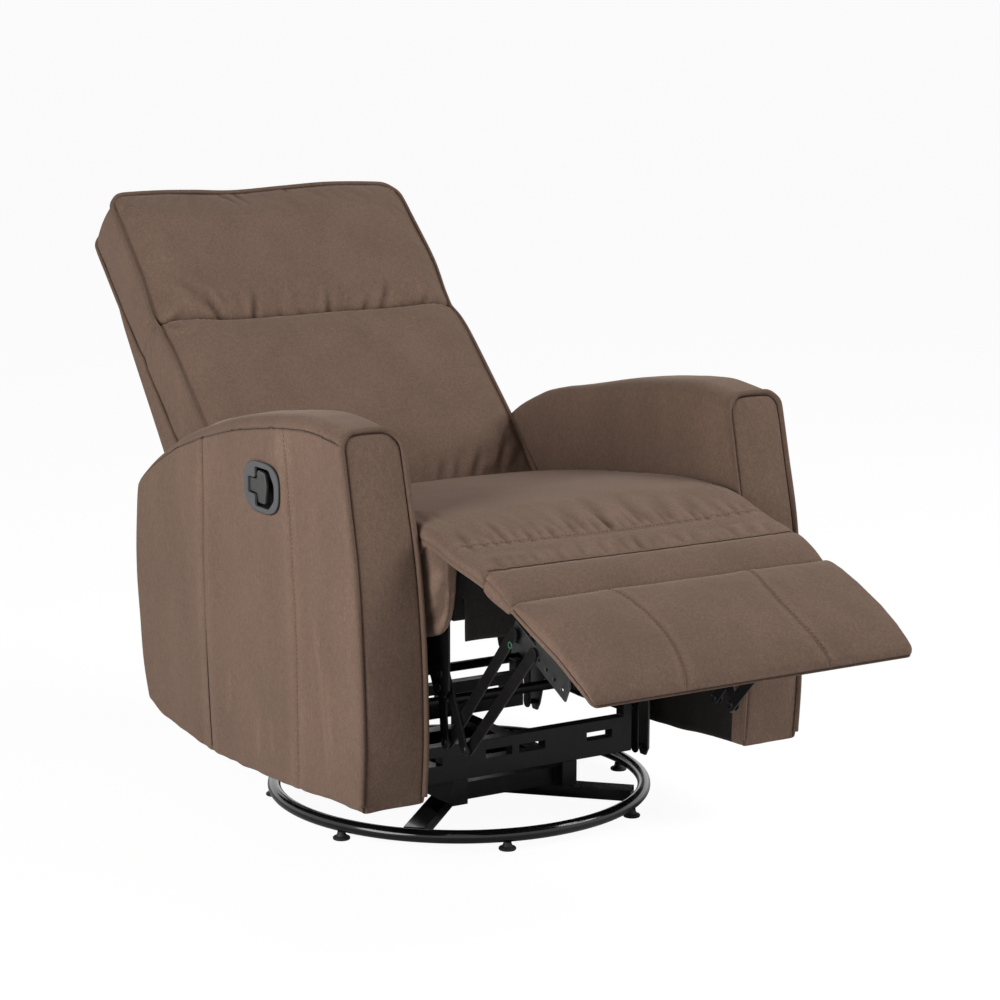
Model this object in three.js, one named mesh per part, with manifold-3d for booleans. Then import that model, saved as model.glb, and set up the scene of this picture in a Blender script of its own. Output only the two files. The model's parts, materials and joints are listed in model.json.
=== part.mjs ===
// Swivel glider recliner with a pull lever, shown with its footrest out and its back down.
// Millimetres. +Z is up, the sitter looks along -Y, left and right are the sitter's own.
// Every place is drawn from the foot of the swivel's axis. The whole chair is then moved back,
// so that the origin lies on the floor under the middle of its length.
import * as THREE from 'three';
import { mergeVertices } from 'three/addons/utils/BufferGeometryUtils.js';
import Module from 'manifold-3d';

const wasm = await Module();
wasm.setup();

const DEGREE = Math.PI / 180;

// General
const OVERALL_WIDTH = 750;
const SWIVEL_Y = 18; // the swivel lies behind the middle of the chair's length
const FIT_GAP = 0.3; // between pieces that touch
const CUT_OVERRUN = 5; // how far a cut runs past the face that it opens

// Ring base
const RING_RADIUS = 287; // to the middle of the tube
const RING_TUBE_RADIUS = 12.5;
const FLOOR_PAD_COUNT = 7;
const FLOOR_PAD_HEIGHT = 7.7;
const FLOOR_PAD_RADIUS = 13;
const FLOOR_PAD_FIRST_ANGLE = -4 * DEGREE;
const SPOKE_WIDTH = 32;
const SPOKE_HEIGHT = 18;
const SPOKE_ANGLE = 45 * DEGREE;
const HUB_RADIUS = 92;
const HUB_THICKNESS = 4;
const RACE_OUTER_RADIUS = 80;
const RACE_INNER_RADIUS = 46;
const RACE_HEIGHT = 6;

// Swivel frame
const SWIVEL_PLATE_THICKNESS = 4;
const SWIVEL_FRAME_HALF_WIDTH = 110;
const SWIVEL_RAIL_WIDTH = 26;
const SWIVEL_RAIL_TOP = 78.7;
const LOW_BAR_TOP = 67;
const LOW_BAR_DEPTH = 26;
const SWIVEL_BOLT_RADIUS = 8;
const SWIVEL_BOLT_HEAD_RADIUS = 16;
const SWIVEL_BOLT_HEAD_HEIGHT = 6;
const SWIVEL_BOLT_NUT_RADIUS = 12;
const SWIVEL_BOLT_NUT_HEIGHT = 5;

// Glider beams and their links
const GLIDE_PIVOT_Y = 155; // in front of and behind the swivel
const GLIDE_PIVOT_TOP = 145;
const GLIDE_PIVOT_BOTTOM = 80;
const BEAM_DEPTH = 20;
const BEAM_LINK_SPACE = 12.2; // from each end to the links that hang there
const BEAM_TOP = 135;
const TOWER_WIDTH = 15;
const TOWER_TOP = 156;
const BEAM_SLOT_LENGTH = 46;
const BEAM_SLOT_HEIGHT = 13;
const BEAM_SLOT_MIDDLE = 112;
const BEAM_SLOT_SHARES = [-0.72, -0.14, 0.14, 0.72];

// Steel links and plates
const PLATE_THICKNESS = 3.5;
const LINK_THICKNESS = 3;
const LINK_SPACE = 1; // between links that lie side by side
const LINK_WIDTH = 18;
const RIVET_RADIUS = 4.5;

// Arms
const ARM_WIDTH = 102;
const ARM_LENGTH = 734;
const ARM_FRONT = 368; // in front of the swivel
const ARM_TOP = 660;
const ARM_BOTTOM = 99;
const ARM_WALL = 15;
const ARM_EDGE_ROUNDING = 13;
const ARM_TOP_NARROWING = 12;
const ARM_POST_WIDTH = 20;
const ARM_WINDOW_COUNT = 4;
const ARM_SILL = 24; // from the lower edge of the cover up to the timber frame
const ARM_RAIL_HEIGHT = 22;

// Side plates of the chair and the tubes between them
const SIDE_RAIL_BOTTOM = 125;
const SIDE_RAIL_TOP = 165;
const SIDE_RAIL_EAR_BOTTOM = 66;
const SIDE_RAIL_EAR_HALF_WIDTH = 14;
const CROSS_TUBE_RADIUS = 8;
const FRONT_TUBE_Y = -100;
const FRONT_TUBE_Z = 184;
const REAR_TUBE_Y = 206;
const REAR_TUBE_Z = 143;

// Swing links that carry the seat
const SWING_PIVOT_Y = 150;
const SWING_PIVOT_BOTTOM = 190;
const SWING_PIVOT_TOP = 330;
const SEAT_TRAVEL = 60; // from the back down to the back up

// Seat box
const SEAT_BOARD_THICKNESS = 18;
const SEAT_BOARD_HEIGHT = 70;
const SEAT_BOX_GAP = 13; // to each arm
const SEAT_BOX_FRONT = 430;
const SEAT_BOX_REAR = 186;
const SEAT_BASE_REAR_Z = 378; // underside of the cushion
const SEAT_BASE_FRONT_Z = 435;
const FRONT_RAIL_FACE = 380;
const REAR_RAIL_FACE = 185;
const RAIL_BOARD_HEIGHT = 42;
const SPRING_COUNT = 4;
const SPRING_WIRE = 3.6;
const SPRING_WAVES = 8;
const SPRING_HALF_SWING = 24;

// Seat cushion
const SEAT_REAR = 189;
const SEAT_REAR_EDGE_Z = 452;
const SEAT_HIGH_EDGE_Z = 512;
const SEAT_CROWN = 21;
const SEAT_GAP = 7; // to each arm
const SEAT_FRONT_GAP = 23;
const SEAT_EDGE_ROUNDING = 16;
const SEAT_SIDES_DRAWN_IN = 5;
const CHANNEL_DEPTH = 4;
const FLAP_THICKNESS = 22;
const FLAP_FACE_LENGTH = 27; // the slanted face in which the cushion ends at the crease
const FLAP_FACE_ANGLE = 23.5 * DEGREE;

// Crease on which the footrest folds
const CREASE_Y = -510;
const CREASE_Z = 472;

// Footrest
const FOOTREST_LENGTH = 276;
const FOOTREST_DROP_ANGLE = 26.3 * DEGREE;
const FOOTREST_GAP = 12.5; // from each side to the line of the arm
const FOOTREST_THICKNESS = 32;
const FOOTREST_RISE = 12; // of the pad's face over the line of the seat's edge
const FOOTREST_NECK_THICKNESS = 20;
const FOOTREST_SEAM = 52; // from the crease
const FOOTREST_CROWN = 10;
const FOOTREST_EDGE_ROUNDING = 8;
const BOARD_THICKNESS = 10;
const BOARD_MARGIN = 25.5; // from each side of the pad
const BOARD_START = 74;
const BOARD_LENGTH = 140;
const OTTOMAN_BRACKET_START = 30;
const OTTOMAN_BRACKET_LENGTH = 146;
const OTTOMAN_BRACKET_WIDTH = 23;
const OTTOMAN_HOLE_COUNT = 5;
const OTTOMAN_HOLE_RADIUS = 3.5;
const OTTOMAN_HOLE_PITCH = 21;

// Footrest pivots
const REAR_LINK_Q_Y = -518;
const REAR_LINK_Q_Z = 393;
const FRONT_LINK_Q_Y = -560;
const FRONT_LINK_Q_Z = 373;
const REAR_LINK_J_Y = -353;
const REAR_LINK_J_Z = 203;
const FRONT_LINK_J_Y = -399;
const FRONT_LINK_J_Z = 203;

// Seat plates
const SEAT_PLATE_BOTTOM = 318;
const SEAT_PLATE_TOP = 345;
const SEAT_PLATE_LOBE_TOP = 380;
const SEAT_PLATE_LOBE_HALF_WIDTH = 25;
const PIVOT_MARGIN = 13; // steel left round a pivot

// Back
const RECLINE_PIVOT_Y = 218;
const RECLINE_PIVOT_Z = 412;
const BACK_FOOT_Y = 208; // lower end of the front face
const BACK_FOOT_Z = 447;
const BACK_RISE_ANGLE = 43.4 * DEGREE;
const BACK_LENGTH = 632;
const HEAD_SEAM = 365; // from the lower end
const BACK_GAP = 9; // to each arm
const OUTER_BACK_MARGIN = 6; // from each side of the cushions
const BACK_CORNER_RADIUS = 30;
const BACK_CUSHION_DEPTH = 92;
const LUMBAR_CROWN = 20;
const HEAD_CROWN = 16;
const BACK_EDGE_ROUNDING = 14;
const BACK_SIDES_DRAWN_IN = 4;
const OUTER_BACK_LENGTH = 592;
const OUTER_BACK_FOOT_DEPTH = 205;
const OUTER_BACK_TOP_DEPTH = 114;
const BRACKET_LEG_WIDTH = 26;
const BRACKET_DEPTH = 126;
const BRACKET_REACH = 170;

// Lever, its cup and its cable
const CUP_Y = -78;
const CUP_Z = 534;
const CUP_LENGTH = 108;
const CUP_HEIGHT = 78;
const CUP_FLANGE = 3;
const CUP_FLANGE_RIM = 6;
const CUP_WALL = 2.5;
const CUP_DEPTH = 28;
const CUP_CLEARANCE = 4; // from the cup to the timber frame
const CUP_OPENING_LENGTH = 80;
const CUP_OPENING_HEIGHT = 54;
const CUP_OPENING_ROUNDING = 12;
const LEVER_THICKNESS = 5;
const LEVER_STEM_HEIGHT = 20;
const LEVER_BAR_HEIGHT = 46;
const LEVER_BAR_LENGTH = 37;
const LEVER_STEM_LENGTH = 22;
const LEVER_PIN_RADIUS = 2.5;
const LEVER_CLEARANCE = 2.5;
const CABLE_RADIUS = 2.5;
const CABLE_HOLE_RADIUS = 5;
const CABLE_END_Z = 150;
const CABLE_STEPS = 30;

const RING_SEGMENTS = 56;
const HUB_SEGMENTS = 24;
const ROUND_SEGMENTS = 12;
const SMALL_ROUND_SEGMENTS = 8;

function cloth(color) {
  return new THREE.MeshStandardMaterial({ color, roughness: 0.95, metalness: 0 });
}
const FABRIC = cloth(0x6b574c);
const STEEL = new THREE.MeshStandardMaterial({ color: 0x141414, roughness: 0.4, metalness: 0.7 });
const SPRING_STEEL = new THREE.MeshStandardMaterial({ color: 0x55575a, roughness: 0.4, metalness: 0.9 });
const TIMBER = new THREE.MeshStandardMaterial({ color: 0xb08c5e, roughness: 0.8, metalness: 0 });
const PLASTIC = new THREE.MeshStandardMaterial({ color: 0x2b2b2c, roughness: 0.5, metalness: 0 });
const RUBBER = new THREE.MeshStandardMaterial({ color: 0x101010, roughness: 0.9, metalness: 0 });

const chair = new THREE.Group();

function add(name, geometry, material) {
  const mesh = new THREE.Mesh(geometry, material);
  mesh.name = name;
  chair.add(mesh);
}

// Turns a closed geometry into a solid that can be joined and cut.
function solid(geometry) {
  const bare = geometry.clone();
  bare.deleteAttribute('normal');
  bare.deleteAttribute('uv');
  const merged = mergeVertices(bare);
  return new wasm.Manifold(new wasm.Mesh({
    numProp: 3,
    vertProperties: Float32Array.from(merged.attributes.position.array),
    triVerts: Uint32Array.from(merged.index.array),
  }));
}

function geometryOf(body) {
  const mesh = body.getMesh();
  const geometry = new THREE.BufferGeometry();
  geometry.setAttribute('position', new THREE.BufferAttribute(mesh.vertProperties, mesh.numProp));
  geometry.setIndex(new THREE.BufferAttribute(mesh.triVerts, 1));
  return geometry;
}

function join(geometries) {
  return geometryOf(geometries.map(solid).reduce((whole, piece) => whole.add(piece)));
}

function cut(geometry, tools) {
  return geometryOf(tools.map(solid).reduce((whole, tool) => whole.subtract(tool), solid(geometry)));
}

// Mirrors a geometry from one side of the chair to the other.
function mirrored(geometry) {
  const copy = geometry.index ? geometry.toNonIndexed() : geometry.clone();
  const place = copy.attributes.position;
  for (let i = 0; i < place.count; i += 3) {
    const first = [place.getX(i), place.getY(i), place.getZ(i)];
    place.setXYZ(i, -place.getX(i + 2), place.getY(i + 2), place.getZ(i + 2));
    place.setXYZ(i + 1, -place.getX(i + 1), place.getY(i + 1), place.getZ(i + 1));
    place.setXYZ(i + 2, -first[0], first[1], first[2]);
  }
  return copy;
}

// The sitter's left is at +X. Both sides come from the one made there.
function addPair(name, geometry, material) {
  add(`${name}_left`, geometry, material);
  add(`${name}_right`, mirrored(geometry), material);
}

function box(xLow, xHigh, yLow, yHigh, zLow, zHigh) {
  const geometry = new THREE.BoxGeometry(xHigh - xLow, yHigh - yLow, zHigh - zLow);
  return geometry.translate((xLow + xHigh) / 2, (yLow + yHigh) / 2, (zLow + zHigh) / 2);
}

function extruded(shape, depth, rounding, curveSegments) {
  return new THREE.ExtrudeGeometry(shape, {
    depth: depth - 2 * rounding,
    bevelEnabled: rounding > 0,
    bevelThickness: rounding,
    bevelSize: rounding,
    bevelOffset: -rounding,
    bevelSegments: 3,
    curveSegments,
  }).translate(0, 0, rounding);
}

// A plate whose outline is drawn in (y, z), between two x places.
function plateX(shape, xLow, xHigh, rounding = 0, curveSegments = 3) {
  const turn = new THREE.Matrix4().makeBasis(
    new THREE.Vector3(0, 1, 0), new THREE.Vector3(0, 0, 1), new THREE.Vector3(1, 0, 0));
  return extruded(shape, xHigh - xLow, rounding, curveSegments).applyMatrix4(turn)
    .translate(xLow, 0, 0);
}

// A plate whose outline is drawn in (x, z), between two y places.
function plateY(shape, yLow, yHigh) {
  const turn = new THREE.Matrix4().makeBasis(
    new THREE.Vector3(1, 0, 0), new THREE.Vector3(0, 0, 1), new THREE.Vector3(0, -1, 0));
  return extruded(shape, yHigh - yLow, 0, 4).applyMatrix4(turn).translate(0, yHigh, 0);
}

function outline(points) {
  return new THREE.Shape(points.map(([y, z]) => new THREE.Vector2(y, z)));
}

// A round bar along X at a place in the side view.
function barX(place, radius, xLow, xHigh, segments = ROUND_SEGMENTS) {
  const geometry = new THREE.CylinderGeometry(radius, radius, xHigh - xLow, segments);
  return geometry.rotateZ(Math.PI / 2).translate((xLow + xHigh) / 2, place.y, place.z);
}

function barZ(x, y, zLow, zHigh, radius, segments = ROUND_SEGMENTS) {
  const geometry = new THREE.CylinderGeometry(radius, radius, zHigh - zLow, segments);
  return geometry.rotateX(Math.PI / 2).translate(x, y, (zLow + zHigh) / 2);
}

// Skins a row of closed loops with the same number of points, and closes both ends.
function loft(loops) {
  const round = loops[0].length;
  const points = loops.flat();
  const faces = [];
  for (let row = 0; row + 1 < loops.length; row += 1) {
    for (let i = 0; i < round; i += 1) {
      const a = row * round + i;
      const b = row * round + (i + 1) % round;
      faces.push(a, b, b + round, a, b + round, a + round);
    }
  }
  const closeEnd = (start, reverse) => {
    const ring = points.slice(start, start + round);
    const middle = ring.reduce((sum, p) => sum.add(p), new THREE.Vector3()).divideScalar(round);
    points.push(middle);
    for (let i = 0; i < round; i += 1) {
      const a = start + i;
      const b = start + (i + 1) % round;
      faces.push(...(reverse ? [b, a] : [a, b]), points.length - 1);
    }
  };
  const last = (loops.length - 1) * round;
  closeEnd(0, true);
  closeEnd(last, false);
  let volume = 0;
  for (let i = 0; i < faces.length; i += 3) {
    const [a, b, c] = [points[faces[i]], points[faces[i + 1]], points[faces[i + 2]]];
    volume += a.dot(b.clone().cross(c));
  }
  if (volume < 0) faces.reverse();
  const geometry = new THREE.BufferGeometry().setFromPoints(points);
  geometry.setIndex(faces);
  return geometry;
}

// Where the top of a pad has its columns of points, from one edge to the other.
const COLUMN_SHARES = [-1, -0.88, -0.72, -0.54, -0.5, -0.46, -0.3, -0.15,
  0, 0.15, 0.3, 0.46, 0.5, 0.54, 0.72, 0.88, 1];
// The turns of the four rounded corners, in degrees, on from the right end of the top.
const CORNERS = [
  { side: 1, level: 1, turns: [45, 0] },
  { side: 1, level: 0, turns: [0, -45, -90] },
  { side: -1, level: 0, turns: [-90, -135, -180] },
  { side: -1, level: 1, turns: [-180, -225] },
];
const LARGEST_CORNER_SHARE = 0.45; // of the pad's height

// One loop across a pad, standing on its underside point and rising to its top edge point.
// The crown rises over the middle, and a dip can run at half the width on each side.
function padLoop(bottom, top, halfWidth, crown, rounding, dip = 0) {
  const up = top.clone().sub(bottom);
  const height = up.length();
  up.normalize();
  const corner = Math.min(rounding, height * LARGEST_CORNER_SHARE);
  const flat = halfWidth - corner;
  const place = (across, rise) => bottom.clone().addScaledVector(up, rise).setX(across);
  const loop = COLUMN_SHARES.map((share) => {
    const sunk = Math.abs(share) === 0.5 ? dip : 0;
    return place(share * flat, height + crown * (1 - share ** 2) - sunk);
  });
  for (const { side, level, turns } of CORNERS) {
    const middle = level ? height - corner : corner;
    for (const turn of turns) {
      const angle = turn * DEGREE;
      loop.push(place(side * flat + corner * Math.cos(angle), middle + corner * Math.sin(angle)));
    }
  }
  return loop;
}

// A frame in the side view: along runs up a slanted face, and behind runs away from its front.
function slantedFrame(y, z, along, behind) {
  return {
    at: (a, b) => new THREE.Vector3(
      0, y + a * Math.cos(along) + b * Math.cos(behind), z + a * Math.sin(along) + b * Math.sin(behind)),
    flat(a, b) {
      const place = this.at(a, b);
      return [place.y, place.z];
    },
  };
}

function sidePlace(y, z) {
  return new THREE.Vector3(0, y, z);
}

// Reads a row of [place, value] shares at any place between the first and the last.
function readShares(rows, share) {
  let i = 1;
  while (i < rows.length - 1 && rows[i][0] < share) i += 1;
  const [[fromPlace, fromValue], [toPlace, toValue]] = [rows[i - 1], rows[i]];
  return fromValue + (toValue - fromValue) * (share - fromPlace) / (toPlace - fromPlace);
}

// Ring base
const ringMiddleZ = FLOOR_PAD_HEIGHT + FIT_GAP + RING_TUBE_RADIUS;
const hubTop = ringMiddleZ + SPOKE_HEIGHT / 2 + HUB_THICKNESS;
const spokeBottom = ringMiddleZ - SPOKE_HEIGHT / 2;
const boltHoleRadius = SWIVEL_BOLT_RADIUS + FIT_GAP;

add('base_ring', new THREE.TorusGeometry(RING_RADIUS, RING_TUBE_RADIUS, 8, RING_SEGMENTS)
  .translate(0, 0, ringMiddleZ), STEEL);

for (let i = 0; i < FLOOR_PAD_COUNT; i += 1) {
  const angle = FLOOR_PAD_FIRST_ANGLE - i * 2 * Math.PI / FLOOR_PAD_COUNT;
  add(`floor_pad_${i + 1}`, barZ(RING_RADIUS * Math.cos(angle), RING_RADIUS * Math.sin(angle),
    0, FLOOR_PAD_HEIGHT, FLOOR_PAD_RADIUS), RUBBER);
}

// The spokes stop short of the flats between the ring's segments.
const ringInside = RING_RADIUS - RING_TUBE_RADIUS;
const spokeReach = Math.sqrt(ringInside ** 2 - (SPOKE_WIDTH / 2) ** 2)
  * Math.cos(Math.PI / RING_SEGMENTS) - FIT_GAP;
const spoke = box(-spokeReach, spokeReach, -SPOKE_WIDTH / 2, SPOKE_WIDTH / 2,
  spokeBottom, spokeBottom + SPOKE_HEIGHT);
add('base_cross', cut(join([
  spoke.clone().rotateZ(SPOKE_ANGLE),
  spoke.clone().rotateZ(-SPOKE_ANGLE),
  barZ(0, 0, hubTop - HUB_THICKNESS, hubTop, HUB_RADIUS, HUB_SEGMENTS),
]), [barZ(0, 0, spokeBottom - CUT_OVERRUN, hubTop + CUT_OVERRUN, boltHoleRadius)]), STEEL);

const raceBottom = hubTop + FIT_GAP;
const raceTop = raceBottom + RACE_HEIGHT;
add('bearing_race', cut(barZ(0, 0, raceBottom, raceTop, RACE_OUTER_RADIUS, HUB_SEGMENTS), [
  barZ(0, 0, raceBottom - CUT_OVERRUN, raceTop + CUT_OVERRUN, RACE_INNER_RADIUS, HUB_SEGMENTS),
]), STEEL);

// Swivel frame
const swivelBottom = raceTop + FIT_GAP;
const swivelPlateTop = swivelBottom + SWIVEL_PLATE_THICKNESS;
const beamRear = GLIDE_PIVOT_Y + BEAM_DEPTH / 2;
const beamFront = GLIDE_PIVOT_Y - BEAM_DEPTH / 2;
const lowBarRear = beamFront - FIT_GAP;
const swivelPieces = [box(-SWIVEL_FRAME_HALF_WIDTH, SWIVEL_FRAME_HALF_WIDTH, -lowBarRear, lowBarRear,
  swivelBottom, swivelPlateTop)];
for (const side of [-1, 1]) {
  const barMiddle = side * (lowBarRear - LOW_BAR_DEPTH / 2);
  swivelPieces.push(box(-SWIVEL_FRAME_HALF_WIDTH, SWIVEL_FRAME_HALF_WIDTH,
    barMiddle - LOW_BAR_DEPTH / 2, barMiddle + LOW_BAR_DEPTH / 2, swivelBottom, LOW_BAR_TOP));
  const railMiddle = side * (SWIVEL_FRAME_HALF_WIDTH - SWIVEL_RAIL_WIDTH / 2);
  swivelPieces.push(box(railMiddle - SWIVEL_RAIL_WIDTH / 2, railMiddle + SWIVEL_RAIL_WIDTH / 2,
    -beamRear, beamRear, swivelBottom, SWIVEL_RAIL_TOP));
}
add('swivel_plate', cut(join(swivelPieces), [
  barZ(0, 0, swivelBottom - CUT_OVERRUN, swivelPlateTop + CUT_OVERRUN, boltHoleRadius),
]), STEEL);

const boltHeadBottom = swivelPlateTop + FIT_GAP;
add('swivel_bolt', join([
  barZ(0, 0, boltHeadBottom, boltHeadBottom + SWIVEL_BOLT_HEAD_HEIGHT, SWIVEL_BOLT_HEAD_RADIUS),
  barZ(0, 0, spokeBottom - FIT_GAP, boltHeadBottom, SWIVEL_BOLT_RADIUS),
  barZ(0, 0, spokeBottom - FIT_GAP - SWIVEL_BOLT_NUT_HEIGHT, spokeBottom - FIT_GAP,
    SWIVEL_BOLT_NUT_RADIUS),
]), STEEL);

// Everything between the arms keeps to their inner faces. Steel plates and links lie in layers,
// from the seat boards inwards.
const armOutside = OVERALL_WIDTH / 2;
const armInside = armOutside - ARM_WIDTH;
const seatBoxHalfWidth = armInside - SEAT_BOX_GAP;
const boardInside = seatBoxHalfWidth - SEAT_BOARD_THICKNESS;
const plateOutside = boardInside - FIT_GAP;
const plateInside = plateOutside - PLATE_THICKNESS;
const layer = (number) => {
  const outside = plateInside - LINK_SPACE - number * (LINK_THICKNESS + LINK_SPACE);
  return { outside, inside: outside - LINK_THICKNESS };
};
const glideSheet = layer(3);
const beamHalfLength = glideSheet.inside - BEAM_LINK_SPACE;

// Glider beams: pressed channels with slots, and a tower at each end
const beamBottom = SWIVEL_RAIL_TOP + FIT_GAP;
const towerInside = beamHalfLength - TOWER_WIDTH;
for (const [name, middle] of [['front', -GLIDE_PIVOT_Y], ['rear', GLIDE_PIVOT_Y]]) {
  const shape = outline([
    [-beamHalfLength, beamBottom], [beamHalfLength, beamBottom], [beamHalfLength, TOWER_TOP],
    [towerInside, TOWER_TOP], [towerInside, BEAM_TOP], [-towerInside, BEAM_TOP],
    [-towerInside, TOWER_TOP], [-beamHalfLength, TOWER_TOP],
  ]);
  const slots = BEAM_SLOT_SHARES.map((share) => {
    const slotMiddle = share * beamHalfLength;
    return box(slotMiddle - BEAM_SLOT_LENGTH / 2, slotMiddle + BEAM_SLOT_LENGTH / 2,
      middle - BEAM_DEPTH, middle + BEAM_DEPTH,
      BEAM_SLOT_MIDDLE - BEAM_SLOT_HEIGHT / 2, BEAM_SLOT_MIDDLE + BEAM_SLOT_HEIGHT / 2);
  });
  add(`glider_beam_${name}`, cut(plateY(shape, middle - BEAM_DEPTH / 2, middle + BEAM_DEPTH / 2), slots),
    STEEL);
}

// A flat link between two pivots. Each rivet stands out of it, outwards or inwards, to an x place.
function link(from, to, sheet, rivets) {
  const lean = Math.atan2(to.z - from.z, to.y - from.y);
  const shape = new THREE.Shape();
  shape.absarc(to.y, to.z, LINK_WIDTH / 2, lean - Math.PI / 2, lean + Math.PI / 2);
  shape.absarc(from.y, from.z, LINK_WIDTH / 2, lean + Math.PI / 2, lean + 3 * Math.PI / 2);
  const pieces = [plateX(shape, sheet.inside, sheet.outside)];
  const core = (sheet.inside + sheet.outside) / 2;
  for (const [place, end] of rivets) {
    pieces.push(barX(place, RIVET_RADIUS, Math.min(core, end), Math.max(core, end),
      SMALL_ROUND_SEGMENTS));
  }
  return join(pieces);
}

// Glide links
for (const [name, y] of [['front', -GLIDE_PIVOT_Y], ['rear', GLIDE_PIVOT_Y]]) {
  const top = sidePlace(y, GLIDE_PIVOT_TOP);
  const bottom = sidePlace(y, GLIDE_PIVOT_BOTTOM);
  addPair(`glide_link_${name}`, link(top, bottom, glideSheet, [
    [top, beamHalfLength + FIT_GAP], [bottom, plateInside - FIT_GAP],
  ]), STEEL);
}

// Side plates of the chair, with an ear under each glide link and a post under each swing link
const earRise = SIDE_RAIL_EAR_BOTTOM + PIVOT_MARGIN;
const postTop = SWING_PIVOT_BOTTOM + PIVOT_MARGIN;
const postTip = postTop - PIVOT_MARGIN / 2;
const railEnd = REAR_TUBE_Y + CROSS_TUBE_RADIUS + PIVOT_MARGIN;
const frontTubeTop = FRONT_TUBE_Z + CROSS_TUBE_RADIUS + PIVOT_MARGIN / 2;
const sideRail = outline([
  [-GLIDE_PIVOT_Y - SIDE_RAIL_EAR_HALF_WIDTH, earRise],
  [-GLIDE_PIVOT_Y - PIVOT_MARGIN / 2, SIDE_RAIL_EAR_BOTTOM],
  [-GLIDE_PIVOT_Y + PIVOT_MARGIN / 2, SIDE_RAIL_EAR_BOTTOM],
  [-GLIDE_PIVOT_Y + SIDE_RAIL_EAR_HALF_WIDTH, earRise],
  [-GLIDE_PIVOT_Y + 2 * SIDE_RAIL_EAR_HALF_WIDTH, SIDE_RAIL_BOTTOM],
  [GLIDE_PIVOT_Y - 2 * SIDE_RAIL_EAR_HALF_WIDTH, SIDE_RAIL_BOTTOM],
  [GLIDE_PIVOT_Y - SIDE_RAIL_EAR_HALF_WIDTH, earRise],
  [GLIDE_PIVOT_Y - PIVOT_MARGIN / 2, SIDE_RAIL_EAR_BOTTOM],
  [GLIDE_PIVOT_Y + PIVOT_MARGIN / 2, SIDE_RAIL_EAR_BOTTOM],
  [GLIDE_PIVOT_Y + SIDE_RAIL_EAR_HALF_WIDTH, earRise],
  [GLIDE_PIVOT_Y + 2 * SIDE_RAIL_EAR_HALF_WIDTH, SIDE_RAIL_BOTTOM],
  [railEnd, SIDE_RAIL_BOTTOM],
  [railEnd, SIDE_RAIL_TOP],
  [SWING_PIVOT_Y + PIVOT_MARGIN, SIDE_RAIL_TOP],
  [SWING_PIVOT_Y + PIVOT_MARGIN, postTip],
  [SWING_PIVOT_Y + PIVOT_MARGIN / 2, postTop],
  [SWING_PIVOT_Y - PIVOT_MARGIN / 2, postTop],
  [SWING_PIVOT_Y - PIVOT_MARGIN, postTip],
  [SWING_PIVOT_Y - 2 * PIVOT_MARGIN, SIDE_RAIL_TOP],
  [FRONT_TUBE_Y + 2 * PIVOT_MARGIN, SIDE_RAIL_TOP],
  [FRONT_TUBE_Y + PIVOT_MARGIN, frontTubeTop],
  [-SWING_PIVOT_Y + PIVOT_MARGIN, frontTubeTop],
  [-SWING_PIVOT_Y + PIVOT_MARGIN / 2, postTop],
  [-SWING_PIVOT_Y - PIVOT_MARGIN / 2, postTop],
  [-SWING_PIVOT_Y - PIVOT_MARGIN, postTip],
  [-GLIDE_PIVOT_Y - SIDE_RAIL_EAR_HALF_WIDTH, SIDE_RAIL_TOP],
]);
const tubePlaces = {
  front: sidePlace(FRONT_TUBE_Y, FRONT_TUBE_Z),
  rear: sidePlace(REAR_TUBE_Y, REAR_TUBE_Z),
};
const tubeHoles = Object.values(tubePlaces).map((place) => barX(place, CROSS_TUBE_RADIUS + FIT_GAP,
  plateInside - CUT_OVERRUN, plateOutside + CUT_OVERRUN));
addPair('side_rail', cut(plateX(sideRail, plateInside, plateOutside), tubeHoles), STEEL);

for (const [name, place] of Object.entries(tubePlaces)) {
  const reach = armInside - FIT_GAP;
  add(`cross_tube_${name}`, barX(place, CROSS_TUBE_RADIUS, -reach, reach), STEEL);
}

// Arms. Each outline row runs on from the last one's end, as shares of the arm's length from its
// front and of its height from its lower edge.
const ARM_FRONT_SHARES = [[0.005, 0.046], [0, 0.223], [0.008, 0.43], [0.027, 0.636],
  [0.055, 0.802], [0.078, 0.935]];
const ARM_TOP_SHARES = [[0.085, 0.965], [0.11, 0.984], [0.16, 0.994], [0.234, 0.998], [0.358, 0.982],
  [0.531, 0.943], [0.691, 0.881], [0.812, 0.809], [0.913, 0.736], [0.975, 0.672]];
const ARM_REAR_SHARES = [[0.993, 0.6], [1, 0.44], [0.984, 0.214], [0.948, 0.066]];
const ARM_LOWER_SHARES = [[0.875, 0.03], [0.696, 0], [0.512, 0.002], [0.252, 0.02], [0.13, 0.034]];
const armHeight = ARM_TOP - ARM_BOTTOM;
const armPoint = ([along, up]) => new THREE.Vector2(along * ARM_LENGTH - ARM_FRONT,
  up * armHeight + ARM_BOTTOM);
const armShape = new THREE.Shape();
armShape.moveTo(...armPoint(ARM_FRONT_SHARES[0]).toArray());
armShape.splineThru(ARM_FRONT_SHARES.slice(1).map(armPoint));
armShape.splineThru(ARM_TOP_SHARES.map(armPoint));
armShape.splineThru(ARM_REAR_SHARES.map(armPoint));
armShape.splineThru(ARM_LOWER_SHARES.map(armPoint));
armShape.closePath();
const armOutline = armShape.getPoints(2);

// Moves every point of a closed outline inwards by the same distance.
function inset(points, distance) {
  const ring = points.filter((p, i) => p.distanceTo(points[(i + 1) % points.length]) > FIT_GAP);
  const turn = THREE.ShapeUtils.isClockWise(ring) ? -1 : 1;
  return ring.map((p, i) => {
    const before = ring[(i + ring.length - 1) % ring.length];
    const after = ring[(i + 1) % ring.length];
    const run = after.clone().sub(before).normalize();
    return new THREE.Vector2(p.x - turn * distance * run.y, p.y + turn * distance * run.x);
  });
}

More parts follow.
